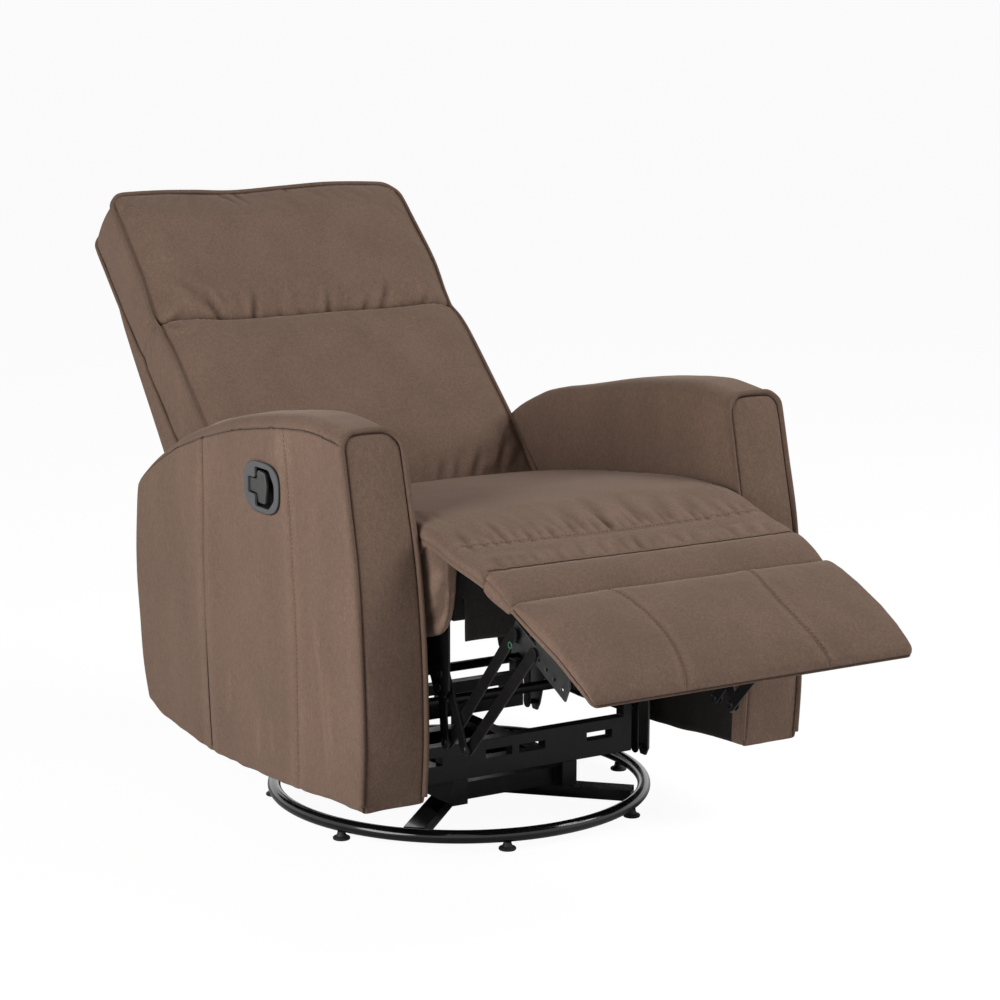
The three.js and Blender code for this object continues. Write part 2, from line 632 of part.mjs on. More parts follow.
// Where an outline crosses a level of one axis: the places along the other, in rising order.
function crossings(points, axis, level) {
  const other = axis === 'x' ? 'y' : 'x';
  const places = [];
  points.forEach((p, i) => {
    const next = points[(i + 1) % points.length];
    if ((p[axis] - level) * (next[axis] - level) > 0 || p[axis] === next[axis]) return;
    const share = (level - p[axis]) / (next[axis] - p[axis]);
    places.push(p[other] + (next[other] - p[other]) * share);
  });
  return places.sort((a, b) => a - b);
}

// Draws both sides of the upper arm in a little towards its middle.
function narrowTop(geometry) {
  const place = geometry.attributes.position;
  const middle = (armInside + armOutside) / 2;
  for (let i = 0; i < place.count; i += 1) {
    const up = THREE.MathUtils.smoothstep(place.getZ(i), ARM_BOTTOM + armHeight / 2, ARM_TOP);
    place.setX(i, middle + (place.getX(i) - middle) * (1 - up * ARM_TOP_NARROWING / ARM_WIDTH));
  }
  return geometry;
}

function roundedOutline(middleY, middleZ, length, height, rounding) {
  const shape = new THREE.Shape();
  const turns = [[1, 1, 0], [-1, 1, 90], [-1, -1, 180], [1, -1, 270]];
  for (const [alongSide, upSide, start] of turns) {
    shape.absarc(middleY + alongSide * (length / 2 - rounding), middleZ + upSide * (height / 2 - rounding),
      rounding, start * DEGREE, (start + 90) * DEGREE);
  }
  return shape;
}

const pocketOutside = armOutside - ARM_WALL;
const pocketInside = armInside + ARM_WALL;
const sillZ = ARM_BOTTOM + ARM_SILL;
const pocketOutline = inset(armOutline, ARM_WALL)
  .map((p) => (p.y < sillZ + ARM_WALL ? new THREE.Vector2(p.x, ARM_BOTTOM - CUT_OVERRUN) : p));
const pocket = plateX(new THREE.Shape(pocketOutline), pocketInside, pocketOutside);
const armCover = cut(narrowTop(plateX(new THREE.Shape(armOutline), armInside, armOutside,
  ARM_EDGE_ROUNDING)), [pocket]);

const frameOutline = inset(armOutline, ARM_WALL + FIT_GAP)
  .map((p) => new THREE.Vector2(p.x, Math.max(p.y, sillZ)));
const frameShape = new THREE.Shape(frameOutline);
// The frame's front leans back as it rises, so its posts are set out from the height of the cup.
const frameFront = crossings(frameOutline, 'y', CUP_Z)[0];
const frameRear = Math.max(...frameOutline.map((p) => p.x));
const windowPitch = (frameRear - frameFront - ARM_POST_WIDTH) / ARM_WINDOW_COUNT;
const frameWindows = [];
for (let i = 0; i < ARM_WINDOW_COUNT; i += 1) {
  const front = frameFront + i * windowPitch + ARM_POST_WIDTH;
  const rear = frameFront + (i + 1) * windowPitch;
  const low = sillZ + ARM_RAIL_HEIGHT;
  frameWindows.push(plateX(outline([
    [front, low], [rear, low], [rear, crossings(frameOutline, 'x', rear).at(-1) - ARM_RAIL_HEIGHT],
    [front, crossings(frameOutline, 'x', front).at(-1) - ARM_RAIL_HEIGHT],
  ]), pocketInside - CUT_OVERRUN, pocketOutside + CUT_OVERRUN));
}
const tubLength = CUP_LENGTH - 2 * CUP_FLANGE_RIM;
const tubHeight = CUP_HEIGHT - 2 * CUP_FLANGE_RIM;
const cupRoom = plateX(roundedOutline(CUP_Y, CUP_Z, tubLength + 2 * CUP_CLEARANCE,
  tubHeight + 2 * CUP_CLEARANCE, tubHeight / 2), pocketInside - CUT_OVERRUN, pocketOutside + CUT_OVERRUN);
addPair('arm_frame', cut(plateX(frameShape, pocketInside + FIT_GAP, pocketOutside - FIT_GAP),
  [...frameWindows, cupRoom]), TIMBER);

// Cup of the lever, in the outer side of the right arm. It is drawn at +X and mirrored.
const cupBack = armOutside - CUP_DEPTH;
const flangeBack = armOutside + FIT_GAP;
const cupFace = flangeBack + CUP_FLANGE;
const tubHole = plateX(roundedOutline(CUP_Y, CUP_Z, tubLength + 2 * FIT_GAP, tubHeight + 2 * FIT_GAP,
  tubHeight / 2), pocketOutside - CUT_OVERRUN, armOutside + CUT_OVERRUN);
const cableHole = barX(sidePlace(CUP_Y, CABLE_END_Z), CABLE_HOLE_RADIUS,
  armInside - CUT_OVERRUN, pocketInside + CUT_OVERRUN);
add('arm_left', armCover, FABRIC);
add('arm_right', mirrored(cut(armCover, [tubHole, cableHole])), FABRIC);

const cup = cut(join([
  plateX(roundedOutline(CUP_Y, CUP_Z, CUP_LENGTH, CUP_HEIGHT, CUP_HEIGHT / 2), flangeBack, cupFace),
  plateX(roundedOutline(CUP_Y, CUP_Z, tubLength, tubHeight, tubHeight / 2), cupBack, cupFace - FIT_GAP),
]), [
  plateX(roundedOutline(CUP_Y, CUP_Z, CUP_OPENING_LENGTH, CUP_OPENING_HEIGHT, CUP_OPENING_ROUNDING),
    cupBack + CUP_WALL, cupFace + CUT_OVERRUN),
]);
add('handle_cup', mirrored(cup), PLASTIC);

// The lever: a stem on an upright pin at the cup's rear, and a bar across its front end
const openingRear = CUP_Y + CUP_OPENING_LENGTH / 2;
const stemRear = openingRear - LEVER_CLEARANCE;
const stemFront = stemRear - LEVER_STEM_LENGTH;
const barFront = stemFront - LEVER_BAR_LENGTH;
const leverOutside = armOutside;
const leverInside = leverOutside - LEVER_THICKNESS;
const leverShape = outline([
  [stemRear, CUP_Z - LEVER_STEM_HEIGHT / 2], [stemRear, CUP_Z + LEVER_STEM_HEIGHT / 2],
  [stemFront, CUP_Z + LEVER_STEM_HEIGHT / 2], [stemFront, CUP_Z + LEVER_BAR_HEIGHT / 2],
  [barFront, CUP_Z + LEVER_BAR_HEIGHT / 2], [barFront, CUP_Z - LEVER_BAR_HEIGHT / 2],
  [stemFront, CUP_Z - LEVER_BAR_HEIGHT / 2], [stemFront, CUP_Z - LEVER_STEM_HEIGHT / 2],
]);
const pinHalfLength = CUP_OPENING_HEIGHT / 2 - FIT_GAP;
const leverPinY = openingRear - CUP_OPENING_ROUNDING;
const leverPinX = leverInside;
const leverPin = barZ(leverPinX, leverPinY, CUP_Z - pinHalfLength, CUP_Z + pinHalfLength,
  LEVER_PIN_RADIUS);
add('release_handle', mirrored(join([plateX(leverShape, leverInside, leverOutside), leverPin])), PLASTIC);

// The cable runs down inside the arm, turns and goes in through its inner wall to the side plate.
const cableStartZ = CUP_Z - tubHeight / 4;
const cableBend = 8 * CABLE_RADIUS;
const cableDownX = cupBack - cableBend;
const cableWay = (x, z) => new THREE.Vector3(x, CUP_Y, z);
const cablePath = new THREE.CurvePath();
cablePath.add(new THREE.QuadraticBezierCurve3(cableWay(cupBack - FIT_GAP, cableStartZ),
  cableWay(cableDownX, cableStartZ), cableWay(cableDownX, cableStartZ - cableBend)));
cablePath.add(new THREE.LineCurve3(cableWay(cableDownX, cableStartZ - cableBend),
  cableWay(cableDownX, CABLE_END_Z + cableBend)));
cablePath.add(new THREE.QuadraticBezierCurve3(cableWay(cableDownX, CABLE_END_Z + cableBend),
  cableWay(cableDownX, CABLE_END_Z), cableWay(cableDownX - cableBend, CABLE_END_Z)));
cablePath.add(new THREE.LineCurve3(cableWay(cableDownX - cableBend, CABLE_END_Z),
  cableWay(plateOutside + FIT_GAP, CABLE_END_Z)));
const cableSection = new THREE.Shape();
cableSection.absarc(0, 0, CABLE_RADIUS, 0, 2 * Math.PI);
add('release_cable', mirrored(new THREE.ExtrudeGeometry(cableSection, {
  steps: CABLE_STEPS, bevelEnabled: false, extrudePath: cablePath, curveSegments: 3,
})), RUBBER);

// Seat box
const baseZ = (y) => THREE.MathUtils.mapLinear(y, SEAT_BOX_REAR, -SEAT_BOX_FRONT,
  SEAT_BASE_REAR_Z, SEAT_BASE_FRONT_Z);
const boardTop = (y) => baseZ(y) - FIT_GAP;
const boardShape = new THREE.Shape();
const boardCorner = SEAT_BOARD_HEIGHT;
boardShape.moveTo(SEAT_BOX_REAR, boardTop(SEAT_BOX_REAR) - SEAT_BOARD_HEIGHT);
boardShape.lineTo(SEAT_BOX_REAR, boardTop(SEAT_BOX_REAR));
boardShape.lineTo(-SEAT_BOX_FRONT, boardTop(-SEAT_BOX_FRONT));
boardShape.quadraticCurveTo(-SEAT_BOX_FRONT, boardTop(-SEAT_BOX_FRONT) - SEAT_BOARD_HEIGHT,
  boardCorner - SEAT_BOX_FRONT, boardTop(boardCorner - SEAT_BOX_FRONT) - SEAT_BOARD_HEIGHT);
boardShape.closePath();
addPair('seat_side', plateX(boardShape, boardInside, seatBoxHalfWidth), TIMBER);

const springDrop = SPRING_WIRE + 2 * FIT_GAP;
const railReach = plateInside - FIT_GAP;
const crossRail = (front, rear) => box(-railReach, railReach, front, rear,
  baseZ(rear) - springDrop - RAIL_BOARD_HEIGHT, baseZ(rear) - springDrop);
add('seat_rail_front', crossRail(-FRONT_RAIL_FACE, SEAT_BOARD_THICKNESS - FRONT_RAIL_FACE), TIMBER);
add('seat_rail_rear', crossRail(REAR_RAIL_FACE - SEAT_BOARD_THICKNESS, REAR_RAIL_FACE), TIMBER);

// Zigzag springs from rail to rail, joined by two tie wires. They are drawn flat and then tilted.
const springFront = SEAT_BOARD_THICKNESS / 2 - FRONT_RAIL_FACE;
const springRear = REAR_RAIL_FACE - SEAT_BOARD_THICKNESS / 2;
const springTilt = Math.atan2(baseZ(springRear) - baseZ(springFront), springRear - springFront);
const springLength = (springRear - springFront) / Math.cos(springTilt);
const springPitch = springLength / SPRING_WAVES;
function zigzag(x) {
  const half = SPRING_WIRE / 2;
  const near = [];
  const far = [];
  for (let i = 0; i < SPRING_WAVES; i += 1) {
    const start = i * springPitch;
    const turn = start + springPitch / 2;
    const end = start + springPitch;
    const [left, right] = [x - SPRING_HALF_SWING, x + SPRING_HALF_SWING];
    near.push([right + half, start - half], [right + half, turn + half],
      [left + half, turn + half], [left + half, end - half]);
    far.push([right - half, start + half], [right - half, turn - half],
      [left - half, turn - half], [left - half, end + half]);
  }
  const first = x - SPRING_HALF_SWING;
  near.unshift([first, -half]);
  far.unshift([first, half]);
  near.push([x + SPRING_HALF_SWING, springLength - half]);
  far.push([x + SPRING_HALF_SWING, springLength + half]);
  return new THREE.ExtrudeGeometry(outline([...near, ...far.reverse()]), {
    depth: SPRING_WIRE, bevelEnabled: false,
  }).translate(0, 0, -half);
}
const springSpan = 2 * railReach / SPRING_COUNT;
const springRun = [];
for (let i = 0; i < SPRING_COUNT; i += 1) {
  springRun.push(zigzag((i + 0.5 - SPRING_COUNT / 2) * springSpan));
}
const reach = (SPRING_COUNT - 1) / 2 * springSpan + SPRING_HALF_SWING + SPRING_WIRE;
for (const share of [1 / 3, 2 / 3]) {
  const along = share * springLength + springPitch / 4;
  springRun.push(box(-reach, reach, along - SPRING_WIRE / 2, along + SPRING_WIRE / 2,
    -SPRING_WIRE / 2, SPRING_WIRE / 2));
}
const springMiddle = FIT_GAP + SPRING_WIRE / 2;
add('spring_deck', join(springRun).rotateX(springTilt)
  .translate(0, springFront, baseZ(springFront) - springMiddle), SPRING_STEEL);

// Steel plate inside each seat side. It carries the swing links, the cranks and the back.
const creaseToQ = { rear: [REAR_LINK_Q_Y - CREASE_Y, REAR_LINK_Q_Z - CREASE_Z],
  front: [FRONT_LINK_Q_Y - CREASE_Y, FRONT_LINK_Q_Z - CREASE_Z] };
const rearJ = sidePlace(REAR_LINK_J_Y, REAR_LINK_J_Z);
const frontJ = sidePlace(FRONT_LINK_J_Y, FRONT_LINK_J_Z);
const rearQ = sidePlace(REAR_LINK_Q_Y, REAR_LINK_Q_Z);
const frontQ = sidePlace(FRONT_LINK_Q_Y, FRONT_LINK_Q_Z);
// Each crank is as long as its link end is from the crease, and parallel to it.
const rearP = sidePlace(rearJ.y - creaseToQ.rear[0], rearJ.z - creaseToQ.rear[1]);
const frontP = sidePlace(frontJ.y - creaseToQ.front[0], frontJ.z - creaseToQ.front[1]);
const lobeMiddle = (rearP.y + frontP.y) / 2;
const lobeFront = lobeMiddle - SEAT_PLATE_LOBE_HALF_WIDTH;
const lobeRear = lobeMiddle + SEAT_PLATE_LOBE_HALF_WIDTH;
const lobeBottom = Math.min(rearP.z, frontP.z) - PIVOT_MARGIN;
const plateShape = new THREE.Shape();
plateShape.moveTo(lobeFront, lobeBottom + PIVOT_MARGIN);
plateShape.lineTo(lobeFront + PIVOT_MARGIN, lobeBottom);
plateShape.lineTo(lobeRear - PIVOT_MARGIN, lobeBottom);
plateShape.lineTo(lobeRear + PIVOT_MARGIN, SEAT_PLATE_BOTTOM);
plateShape.lineTo(RECLINE_PIVOT_Y - 2 * PIVOT_MARGIN, SEAT_PLATE_BOTTOM);
plateShape.lineTo(RECLINE_PIVOT_Y + PIVOT_MARGIN, RECLINE_PIVOT_Z);
plateShape.absarc(RECLINE_PIVOT_Y, RECLINE_PIVOT_Z, PIVOT_MARGIN, 0, Math.PI);
plateShape.lineTo(RECLINE_PIVOT_Y - 3 * PIVOT_MARGIN, SEAT_PLATE_TOP);
plateShape.lineTo(lobeRear + 2 * PIVOT_MARGIN, SEAT_PLATE_TOP);
plateShape.lineTo(lobeRear, SEAT_PLATE_LOBE_TOP);
plateShape.lineTo(lobeFront, SEAT_PLATE_LOBE_TOP);
plateShape.closePath();
addPair('seat_plate', plateX(plateShape, plateInside, plateOutside), STEEL);

// Swing links, leaning forward by half the seat's travel
const swingSheet = layer(1);
for (const [name, y] of [['front', -SWING_PIVOT_Y], ['rear', SWING_PIVOT_Y]]) {
  const bottom = sidePlace(y, SWING_PIVOT_BOTTOM);
  const top = sidePlace(y - SEAT_TRAVEL / 2, SWING_PIVOT_TOP);
  addPair(`swing_link_${name}`, link(top, bottom, swingSheet, [
    [top, plateInside - FIT_GAP], [bottom, plateInside - FIT_GAP],
  ]), STEEL);
}

// Footrest cranks and links, each pair in its own two layers
const rearCrankSheet = layer(0);
const frontCrankSheet = layer(1);
const rearLinkSheet = layer(2);
const frontLinkSheet = layer(3);
const ottomanSheet = layer(4);
addPair('rear_crank', link(rearP, rearJ, rearCrankSheet, [
  [rearP, plateInside - FIT_GAP], [rearJ, rearLinkSheet.outside + FIT_GAP],
]), STEEL);
addPair('front_crank', link(frontP, frontJ, frontCrankSheet, [
  [frontP, plateInside - FIT_GAP], [frontJ, frontLinkSheet.outside + FIT_GAP],
]), STEEL);
addPair('rear_link', link(rearJ, rearQ, rearLinkSheet, [[rearQ, ottomanSheet.outside + FIT_GAP]]), STEEL);
addPair('front_link', link(frontJ, frontQ, frontLinkSheet, [[frontQ, ottomanSheet.outside + FIT_GAP]]),
  STEEL);

// Seat cushion. Shares of its length from the rear against shares of the rise of its side edge.
const SEAT_EDGE_SHARES = [[0, 0], [0.223, 0.4], [0.418, 0.717], [0.567, 0.933], [0.675, 1],
  [0.765, 0.95], [0.848, 0.8], [0.968, 0.467], [1, 0.333]];
// Stations along it: the place, the width left, the crown left, and 1 where a seam runs across.
const SEAT_STATION_SHARES = [[0, 0.985, 0.2, 0], [0.02, 1, 0.45, 0], [0.08, 1, 0.75, 0],
  [0.18, 1, 0.95, 0], [0.32, 1, 1, 0], [0.46, 1, 1, 0], [0.6, 1, 1, 0], [0.7, 1, 1, 0],
  [0.79, 1, 0.93, 0], [0.868, 1, 0.78, 0], [0.888, 1, 0.72, 0], [0.9, 1, 0.68, 1],
  [0.912, 1, 0.64, 0], [0.94, 1, 0.52, 0], [0.975, 1, 0.3, 0], [0.987, 1, 0.15, 1], [1, 1, 0, 0]];
const FLAP_SHARE = 0.88; // where the cushion leaves the seat box and thins out
const SEAT_TAPER_START_SHARE = 0.7;
const seatLength = SEAT_REAR - CREASE_Y;
const seatHalfWidth = armInside - SEAT_GAP;
const seatFrontHalfWidth = armInside - SEAT_FRONT_GAP;
const faceBottom = sidePlace(CREASE_Y + FLAP_FACE_LENGTH * Math.cos(FLAP_FACE_ANGLE),
  CREASE_Z - FLAP_FACE_LENGTH * Math.sin(FLAP_FACE_ANGLE));
const seatLoops = SEAT_STATION_SHARES.map(([share, width, crown, seam]) => {
  const y = SEAT_REAR - share * seatLength;
  const edge = readShares(SEAT_EDGE_SHARES, share) * (SEAT_HIGH_EDGE_Z - SEAT_REAR_EDGE_Z);
  const top = sidePlace(y, SEAT_REAR_EDGE_Z + edge - (seam ? CHANNEL_DEPTH : 0));
  let bottom = sidePlace(y, baseZ(Math.min(y, SEAT_BOX_REAR)));
  if (share > FLAP_SHARE) bottom = sidePlace(y, top.z - FLAP_THICKNESS);
  if (bottom.y < faceBottom.y) bottom = faceBottom;
  const taper = THREE.MathUtils.smoothstep(share, SEAT_TAPER_START_SHARE, 1);
  const middle = seatHalfWidth + (seatFrontHalfWidth - seatHalfWidth) * taper;
  const drawn = SEAT_SIDES_DRAWN_IN * Math.sin(Math.PI * share);
  return padLoop(bottom, top, middle * width - drawn, SEAT_CROWN * crown, SEAT_EDGE_ROUNDING);
});
add('seat_cushion', loft(seatLoops), FABRIC);

// Footrest pad, whose neck starts at the crease. Stations: place, thickness, width and crown left,
// 1 where a seam runs across, and how much of its rise the face has.
const footrest = slantedFrame(CREASE_Y, CREASE_Z, Math.PI + FOOTREST_DROP_ANGLE,
  3 * Math.PI / 2 + FOOTREST_DROP_ANGLE);
const footrestHalfWidth = armInside - FOOTREST_GAP;
const neckShare = FOOTREST_NECK_THICKNESS / FOOTREST_THICKNESS;
const seamShare = FOOTREST_SEAM / FOOTREST_LENGTH;
const FOOTREST_STATION_SHARES = [[0.002, neckShare, 0.96, 0, 0, 0], [0.08, neckShare, 0.97, 0.5, 0, 0],
  [0.17, neckShare, 0.99, 0.7, 0, 0.2], [seamShare, neckShare, 0.995, 0.7, 1, 0.4],
  [0.207, 0.75, 1, 0.8, 0, 0.7], [0.245, 1, 1, 1, 0, 1], [0.4, 1, 1, 1, 0, 1], [0.6, 1, 1, 1, 0, 1],
  [0.78, 1, 1, 1, 0, 1], [0.93, 0.72, 1, 0.9, 0, 0.85], [0.975, 0.55, 1, 0.7, 0, 0.65],
  [1, 0.36, 0.995, 0.4, 0, 0.3]];
const TIP_SHARE = 0.95; // where the pad's end starts to roll over
const footrestLoops = FOOTREST_STATION_SHARES.map(([share, thick, width, crown, seam, risen], i) => {
  const along = share * FOOTREST_LENGTH;
  const near = (seam ? CHANNEL_DEPTH : 0) - risen * FOOTREST_RISE;
  const top = footrest.at(along, near);
  const bottom = i ? footrest.at(along, near + thick * FOOTREST_THICKNESS)
    : sidePlace(top.y, top.z - thick * FOOTREST_THICKNESS);
  const dip = share > seamShare && share < TIP_SHARE ? CHANNEL_DEPTH / 2 : 0;
  return padLoop(bottom, top, footrestHalfWidth * width, FOOTREST_CROWN * crown,
    FOOTREST_EDGE_ROUNDING, dip);
});
add('footrest_pad', loft(footrestLoops), FABRIC);

const boardHalfWidth = footrestHalfWidth - BOARD_MARGIN;
const boardFront = BOARD_START + BOARD_LENGTH;
const boardNear = FOOTREST_THICKNESS - FOOTREST_RISE + FIT_GAP;
const boardFar = boardNear + BOARD_THICKNESS;
add('footrest_board', plateX(outline([
  footrest.flat(BOARD_START, boardNear), footrest.flat(BOARD_START, boardFar),
  footrest.flat(boardFront, boardFar), footrest.flat(boardFront, boardNear),
]), -boardHalfWidth, boardHalfWidth), TIMBER);

// Bracket under the board: a strip with holes that holds the front ends of the long links
const qDepth = [rearQ, frontQ].map((q) => Math.sin(FOOTREST_DROP_ANGLE) * (q.y - CREASE_Y)
  - Math.cos(FOOTREST_DROP_ANGLE) * (q.z - CREASE_Z));
const stripMiddle = (qDepth[0] + qDepth[1]) / 2;
const stripNear = stripMiddle - OTTOMAN_BRACKET_WIDTH / 2;
const stripFar = stripMiddle + OTTOMAN_BRACKET_WIDTH / 2;
const bracketEnd = OTTOMAN_BRACKET_START + OTTOMAN_BRACKET_LENGTH;
const webNear = boardFar + FIT_GAP;
const webStart = BOARD_START + PIVOT_MARGIN;
const ottomanShape = outline([
  footrest.flat(OTTOMAN_BRACKET_START, stripNear), footrest.flat(webStart, stripNear),
  footrest.flat(webStart, webNear), footrest.flat(bracketEnd - PIVOT_MARGIN, webNear),
  footrest.flat(bracketEnd, stripNear), footrest.flat(bracketEnd, stripFar),
  footrest.flat(OTTOMAN_BRACKET_START + OTTOMAN_BRACKET_WIDTH / 2, stripFar),
  footrest.flat(OTTOMAN_BRACKET_START, stripMiddle),
]);
const ottomanHoles = [];
for (let i = 0; i < OTTOMAN_HOLE_COUNT; i += 1) {
  const along = bracketEnd - PIVOT_MARGIN - i * OTTOMAN_HOLE_PITCH;
  ottomanHoles.push(barX(footrest.at(along, stripMiddle), OTTOMAN_HOLE_RADIUS,
    ottomanSheet.inside - CUT_OVERRUN, ottomanSheet.outside + CUT_OVERRUN, SMALL_ROUND_SEGMENTS));
}
addPair('ottoman_bracket', cut(plateX(ottomanShape, ottomanSheet.inside, ottomanSheet.outside),
  ottomanHoles), STEEL);

// Back. Its frame runs up along the front face and away behind it.
const back = slantedFrame(BACK_FOOT_Y, BACK_FOOT_Z, BACK_RISE_ANGLE, BACK_RISE_ANGLE - Math.PI / 2);
const backHalf = armInside - BACK_GAP;
const outerBackHalf = backHalf - OUTER_BACK_MARGIN;

// Half the width of the back at a place up it: full, with rounded upper corners.
function backHalfWidth(along, length, fullWidth) {
  const intoCorner = along - (length - BACK_CORNER_RADIUS);
  if (intoCorner <= 0) return fullWidth;
  return fullWidth - BACK_CORNER_RADIUS
    + Math.sqrt(Math.max(BACK_CORNER_RADIUS ** 2 - intoCorner ** 2, 0));
}

const OUTER_BACK_STATION_SHARES = [0, 0.15, 0.35, 0.55, 0.75, 0.9, 0.96, 0.985, 1];
const shellFront = BACK_CUSHION_DEPTH + FIT_GAP;
const cornerDepth = OUTER_BACK_TOP_DEPTH - shellFront;
const shellLoops = OUTER_BACK_STATION_SHARES.map((share) => {
  const along = share * OUTER_BACK_LENGTH;
  const rear = OUTER_BACK_FOOT_DEPTH + (OUTER_BACK_TOP_DEPTH - OUTER_BACK_FOOT_DEPTH) * share;
  const halfWidth = backHalfWidth(along, OUTER_BACK_LENGTH, outerBackHalf);
  return padLoop(back.at(along, shellFront), back.at(along, rear), halfWidth, 0, cornerDepth / 2);
});
const bracketSheet = layer(0);
const bracketFront = BRACKET_DEPTH - BRACKET_LEG_WIDTH;
const pocketFor = (room, start) => [
  [start, bracketFront - room], [BRACKET_REACH + room, bracketFront - room],
  [BRACKET_REACH + room, BRACKET_DEPTH + room], [start, BRACKET_DEPTH + room],
];
const bracketSlot = plateX(outline(pocketFor(FIT_GAP, -CUT_OVERRUN).map((p) => back.flat(...p))),
  bracketSheet.inside - FIT_GAP, bracketSheet.outside + FIT_GAP);
add('outer_back', cut(loft(shellLoops), [bracketSlot, mirrored(bracketSlot)]), FABRIC);

// The bracket turns on the seat plate, passes behind the cushion's foot and runs up into its slot.
const pivotOffset = sidePlace(RECLINE_PIVOT_Y - BACK_FOOT_Y, RECLINE_PIVOT_Z - BACK_FOOT_Z);
const pivotAlong = pivotOffset.y * Math.cos(BACK_RISE_ANGLE) + pivotOffset.z * Math.sin(BACK_RISE_ANGLE);
const pivotBehind = pivotOffset.y * Math.sin(BACK_RISE_ANGLE) - pivotOffset.z * Math.cos(BACK_RISE_ANGLE);
const legTop = pivotAlong + PIVOT_MARGIN;
const legBottom = pivotAlong - PIVOT_MARGIN;
const bracketShape = outline([
  back.flat(legTop, pivotBehind - PIVOT_MARGIN / 2), back.flat(legTop, bracketFront),
  back.flat(BRACKET_REACH, bracketFront), back.flat(BRACKET_REACH, BRACKET_DEPTH),
  back.flat(legTop, BRACKET_DEPTH), back.flat(legBottom, bracketFront),
  back.flat(legBottom, pivotBehind - PIVOT_MARGIN / 2), back.flat(pivotAlong, pivotBehind - PIVOT_MARGIN),
]);
const reclinePivot = sidePlace(RECLINE_PIVOT_Y, RECLINE_PIVOT_Z);
addPair('back_bracket', join([
  plateX(bracketShape, bracketSheet.inside, bracketSheet.outside),
  barX(reclinePivot, RIVET_RADIUS, (bracketSheet.inside + bracketSheet.outside) / 2, plateInside - FIT_GAP),
]), STEEL);

// Back cushions. Stations: place, depth of the rolled front, width and crown left.
const LUMBAR_STATION_SHARES = [[0, 0.3, 0.97, 0.15], [0.02, 0.12, 0.99, 0.5], [0.07, 0.02, 1, 0.8],
  [0.16, 0, 1, 0.95], [0.35, 0, 1, 1], [0.55, 0, 1, 1], [0.75, 0, 1, 0.95], [0.88, 0, 1, 0.8],
  [0.95, 0.03, 1, 0.55], [0.985, 0.12, 0.995, 0.35], [1, 0.3, 0.985, 0.2]];
const HEAD_STATION_SHARES = [[0, 0.3, 0.985, 0.2], [0.02, 0.12, 0.995, 0.35], [0.07, 0.03, 1, 0.6],
  [0.18, 0, 1, 0.9], [0.4, 0, 1, 1], [0.65, 0, 1, 1], [0.85, 0, 1, 0.9], [0.93, 0.02, 1, 0.7],
  [0.975, 0.1, 1, 0.4], [1, 0.26, 1, 0.2]];
function backCushion(start, end, stations, crownHeight) {
  return loft(stations.map(([share, rolled, width, crown]) => {
    const along = start + share * (end - start);
    const full = backHalfWidth(along, BACK_LENGTH, backHalf);
    const drawn = BACK_SIDES_DRAWN_IN * Math.sin(Math.PI * share);
    return padLoop(back.at(along, BACK_CUSHION_DEPTH), back.at(along, rolled * BACK_CUSHION_DEPTH),
      full * width - drawn, crownHeight * crown, BACK_EDGE_ROUNDING);
  }));
}
add('lumbar_cushion', backCushion(0, HEAD_SEAM - FIT_GAP, LUMBAR_STATION_SHARES, LUMBAR_CROWN), FABRIC);
add('head_cushion', backCushion(HEAD_SEAM, BACK_LENGTH, HEAD_STATION_SHARES, HEAD_CROWN), FABRIC);

chair.position.y = SWIVEL_Y;

export default chair;
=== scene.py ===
import json
import math

import bmesh
import bpy
import numpy as np
from bpy.props import FloatProperty, FloatVectorProperty, IntProperty, PointerProperty
from mathutils import Matrix, Vector, noise
from mathutils.bvhtree import BVHTree


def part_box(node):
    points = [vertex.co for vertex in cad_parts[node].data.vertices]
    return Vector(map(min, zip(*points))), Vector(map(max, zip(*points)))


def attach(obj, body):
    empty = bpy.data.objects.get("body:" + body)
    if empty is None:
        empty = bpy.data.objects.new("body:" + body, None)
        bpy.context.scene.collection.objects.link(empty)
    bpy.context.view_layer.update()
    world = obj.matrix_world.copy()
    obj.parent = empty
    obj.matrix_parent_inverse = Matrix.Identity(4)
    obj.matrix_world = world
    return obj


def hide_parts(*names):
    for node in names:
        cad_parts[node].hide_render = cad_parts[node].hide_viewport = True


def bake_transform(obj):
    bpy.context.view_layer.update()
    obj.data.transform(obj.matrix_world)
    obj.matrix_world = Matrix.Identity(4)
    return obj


bl_info = {
    "name": "Swivel glider recliner",
    "version": (1, 0, 0),
    "blender": (4, 5, 0),
    "location": "View3D > Sidebar > Recliner",
    "description": "Dresses the recliner's construction with covers, cushions, trim and finishes",
    "category": "Object",
}

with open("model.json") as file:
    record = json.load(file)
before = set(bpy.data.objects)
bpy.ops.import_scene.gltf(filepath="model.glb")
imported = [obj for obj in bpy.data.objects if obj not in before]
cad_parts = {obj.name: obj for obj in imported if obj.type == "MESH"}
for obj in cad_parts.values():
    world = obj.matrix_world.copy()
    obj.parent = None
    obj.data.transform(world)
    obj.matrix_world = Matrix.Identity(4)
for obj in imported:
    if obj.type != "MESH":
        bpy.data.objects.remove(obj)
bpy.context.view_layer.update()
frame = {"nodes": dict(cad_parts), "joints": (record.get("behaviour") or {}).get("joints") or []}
JOINTS = {joint["name"]: joint for joint in frame["joints"]}


def pivot(name):
    """Where a joint turns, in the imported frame."""
    return Vector(JOINTS[name]["pos_m"])


# Shapes are drawn from the foot of the swivel's axis. add_piece moves them to the frame's origin.
SHIFT = Vector((0, pivot("swivel").y, 0))
CREASE = pivot("footrest_fold") - SHIFT
SIDES = {"right": -1, "left": 1}
MM = 0.001


def box_of(node):
    """The low and the high corner of a node's box, as shapes are drawn."""
    return [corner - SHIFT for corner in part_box(node)]


# Lines


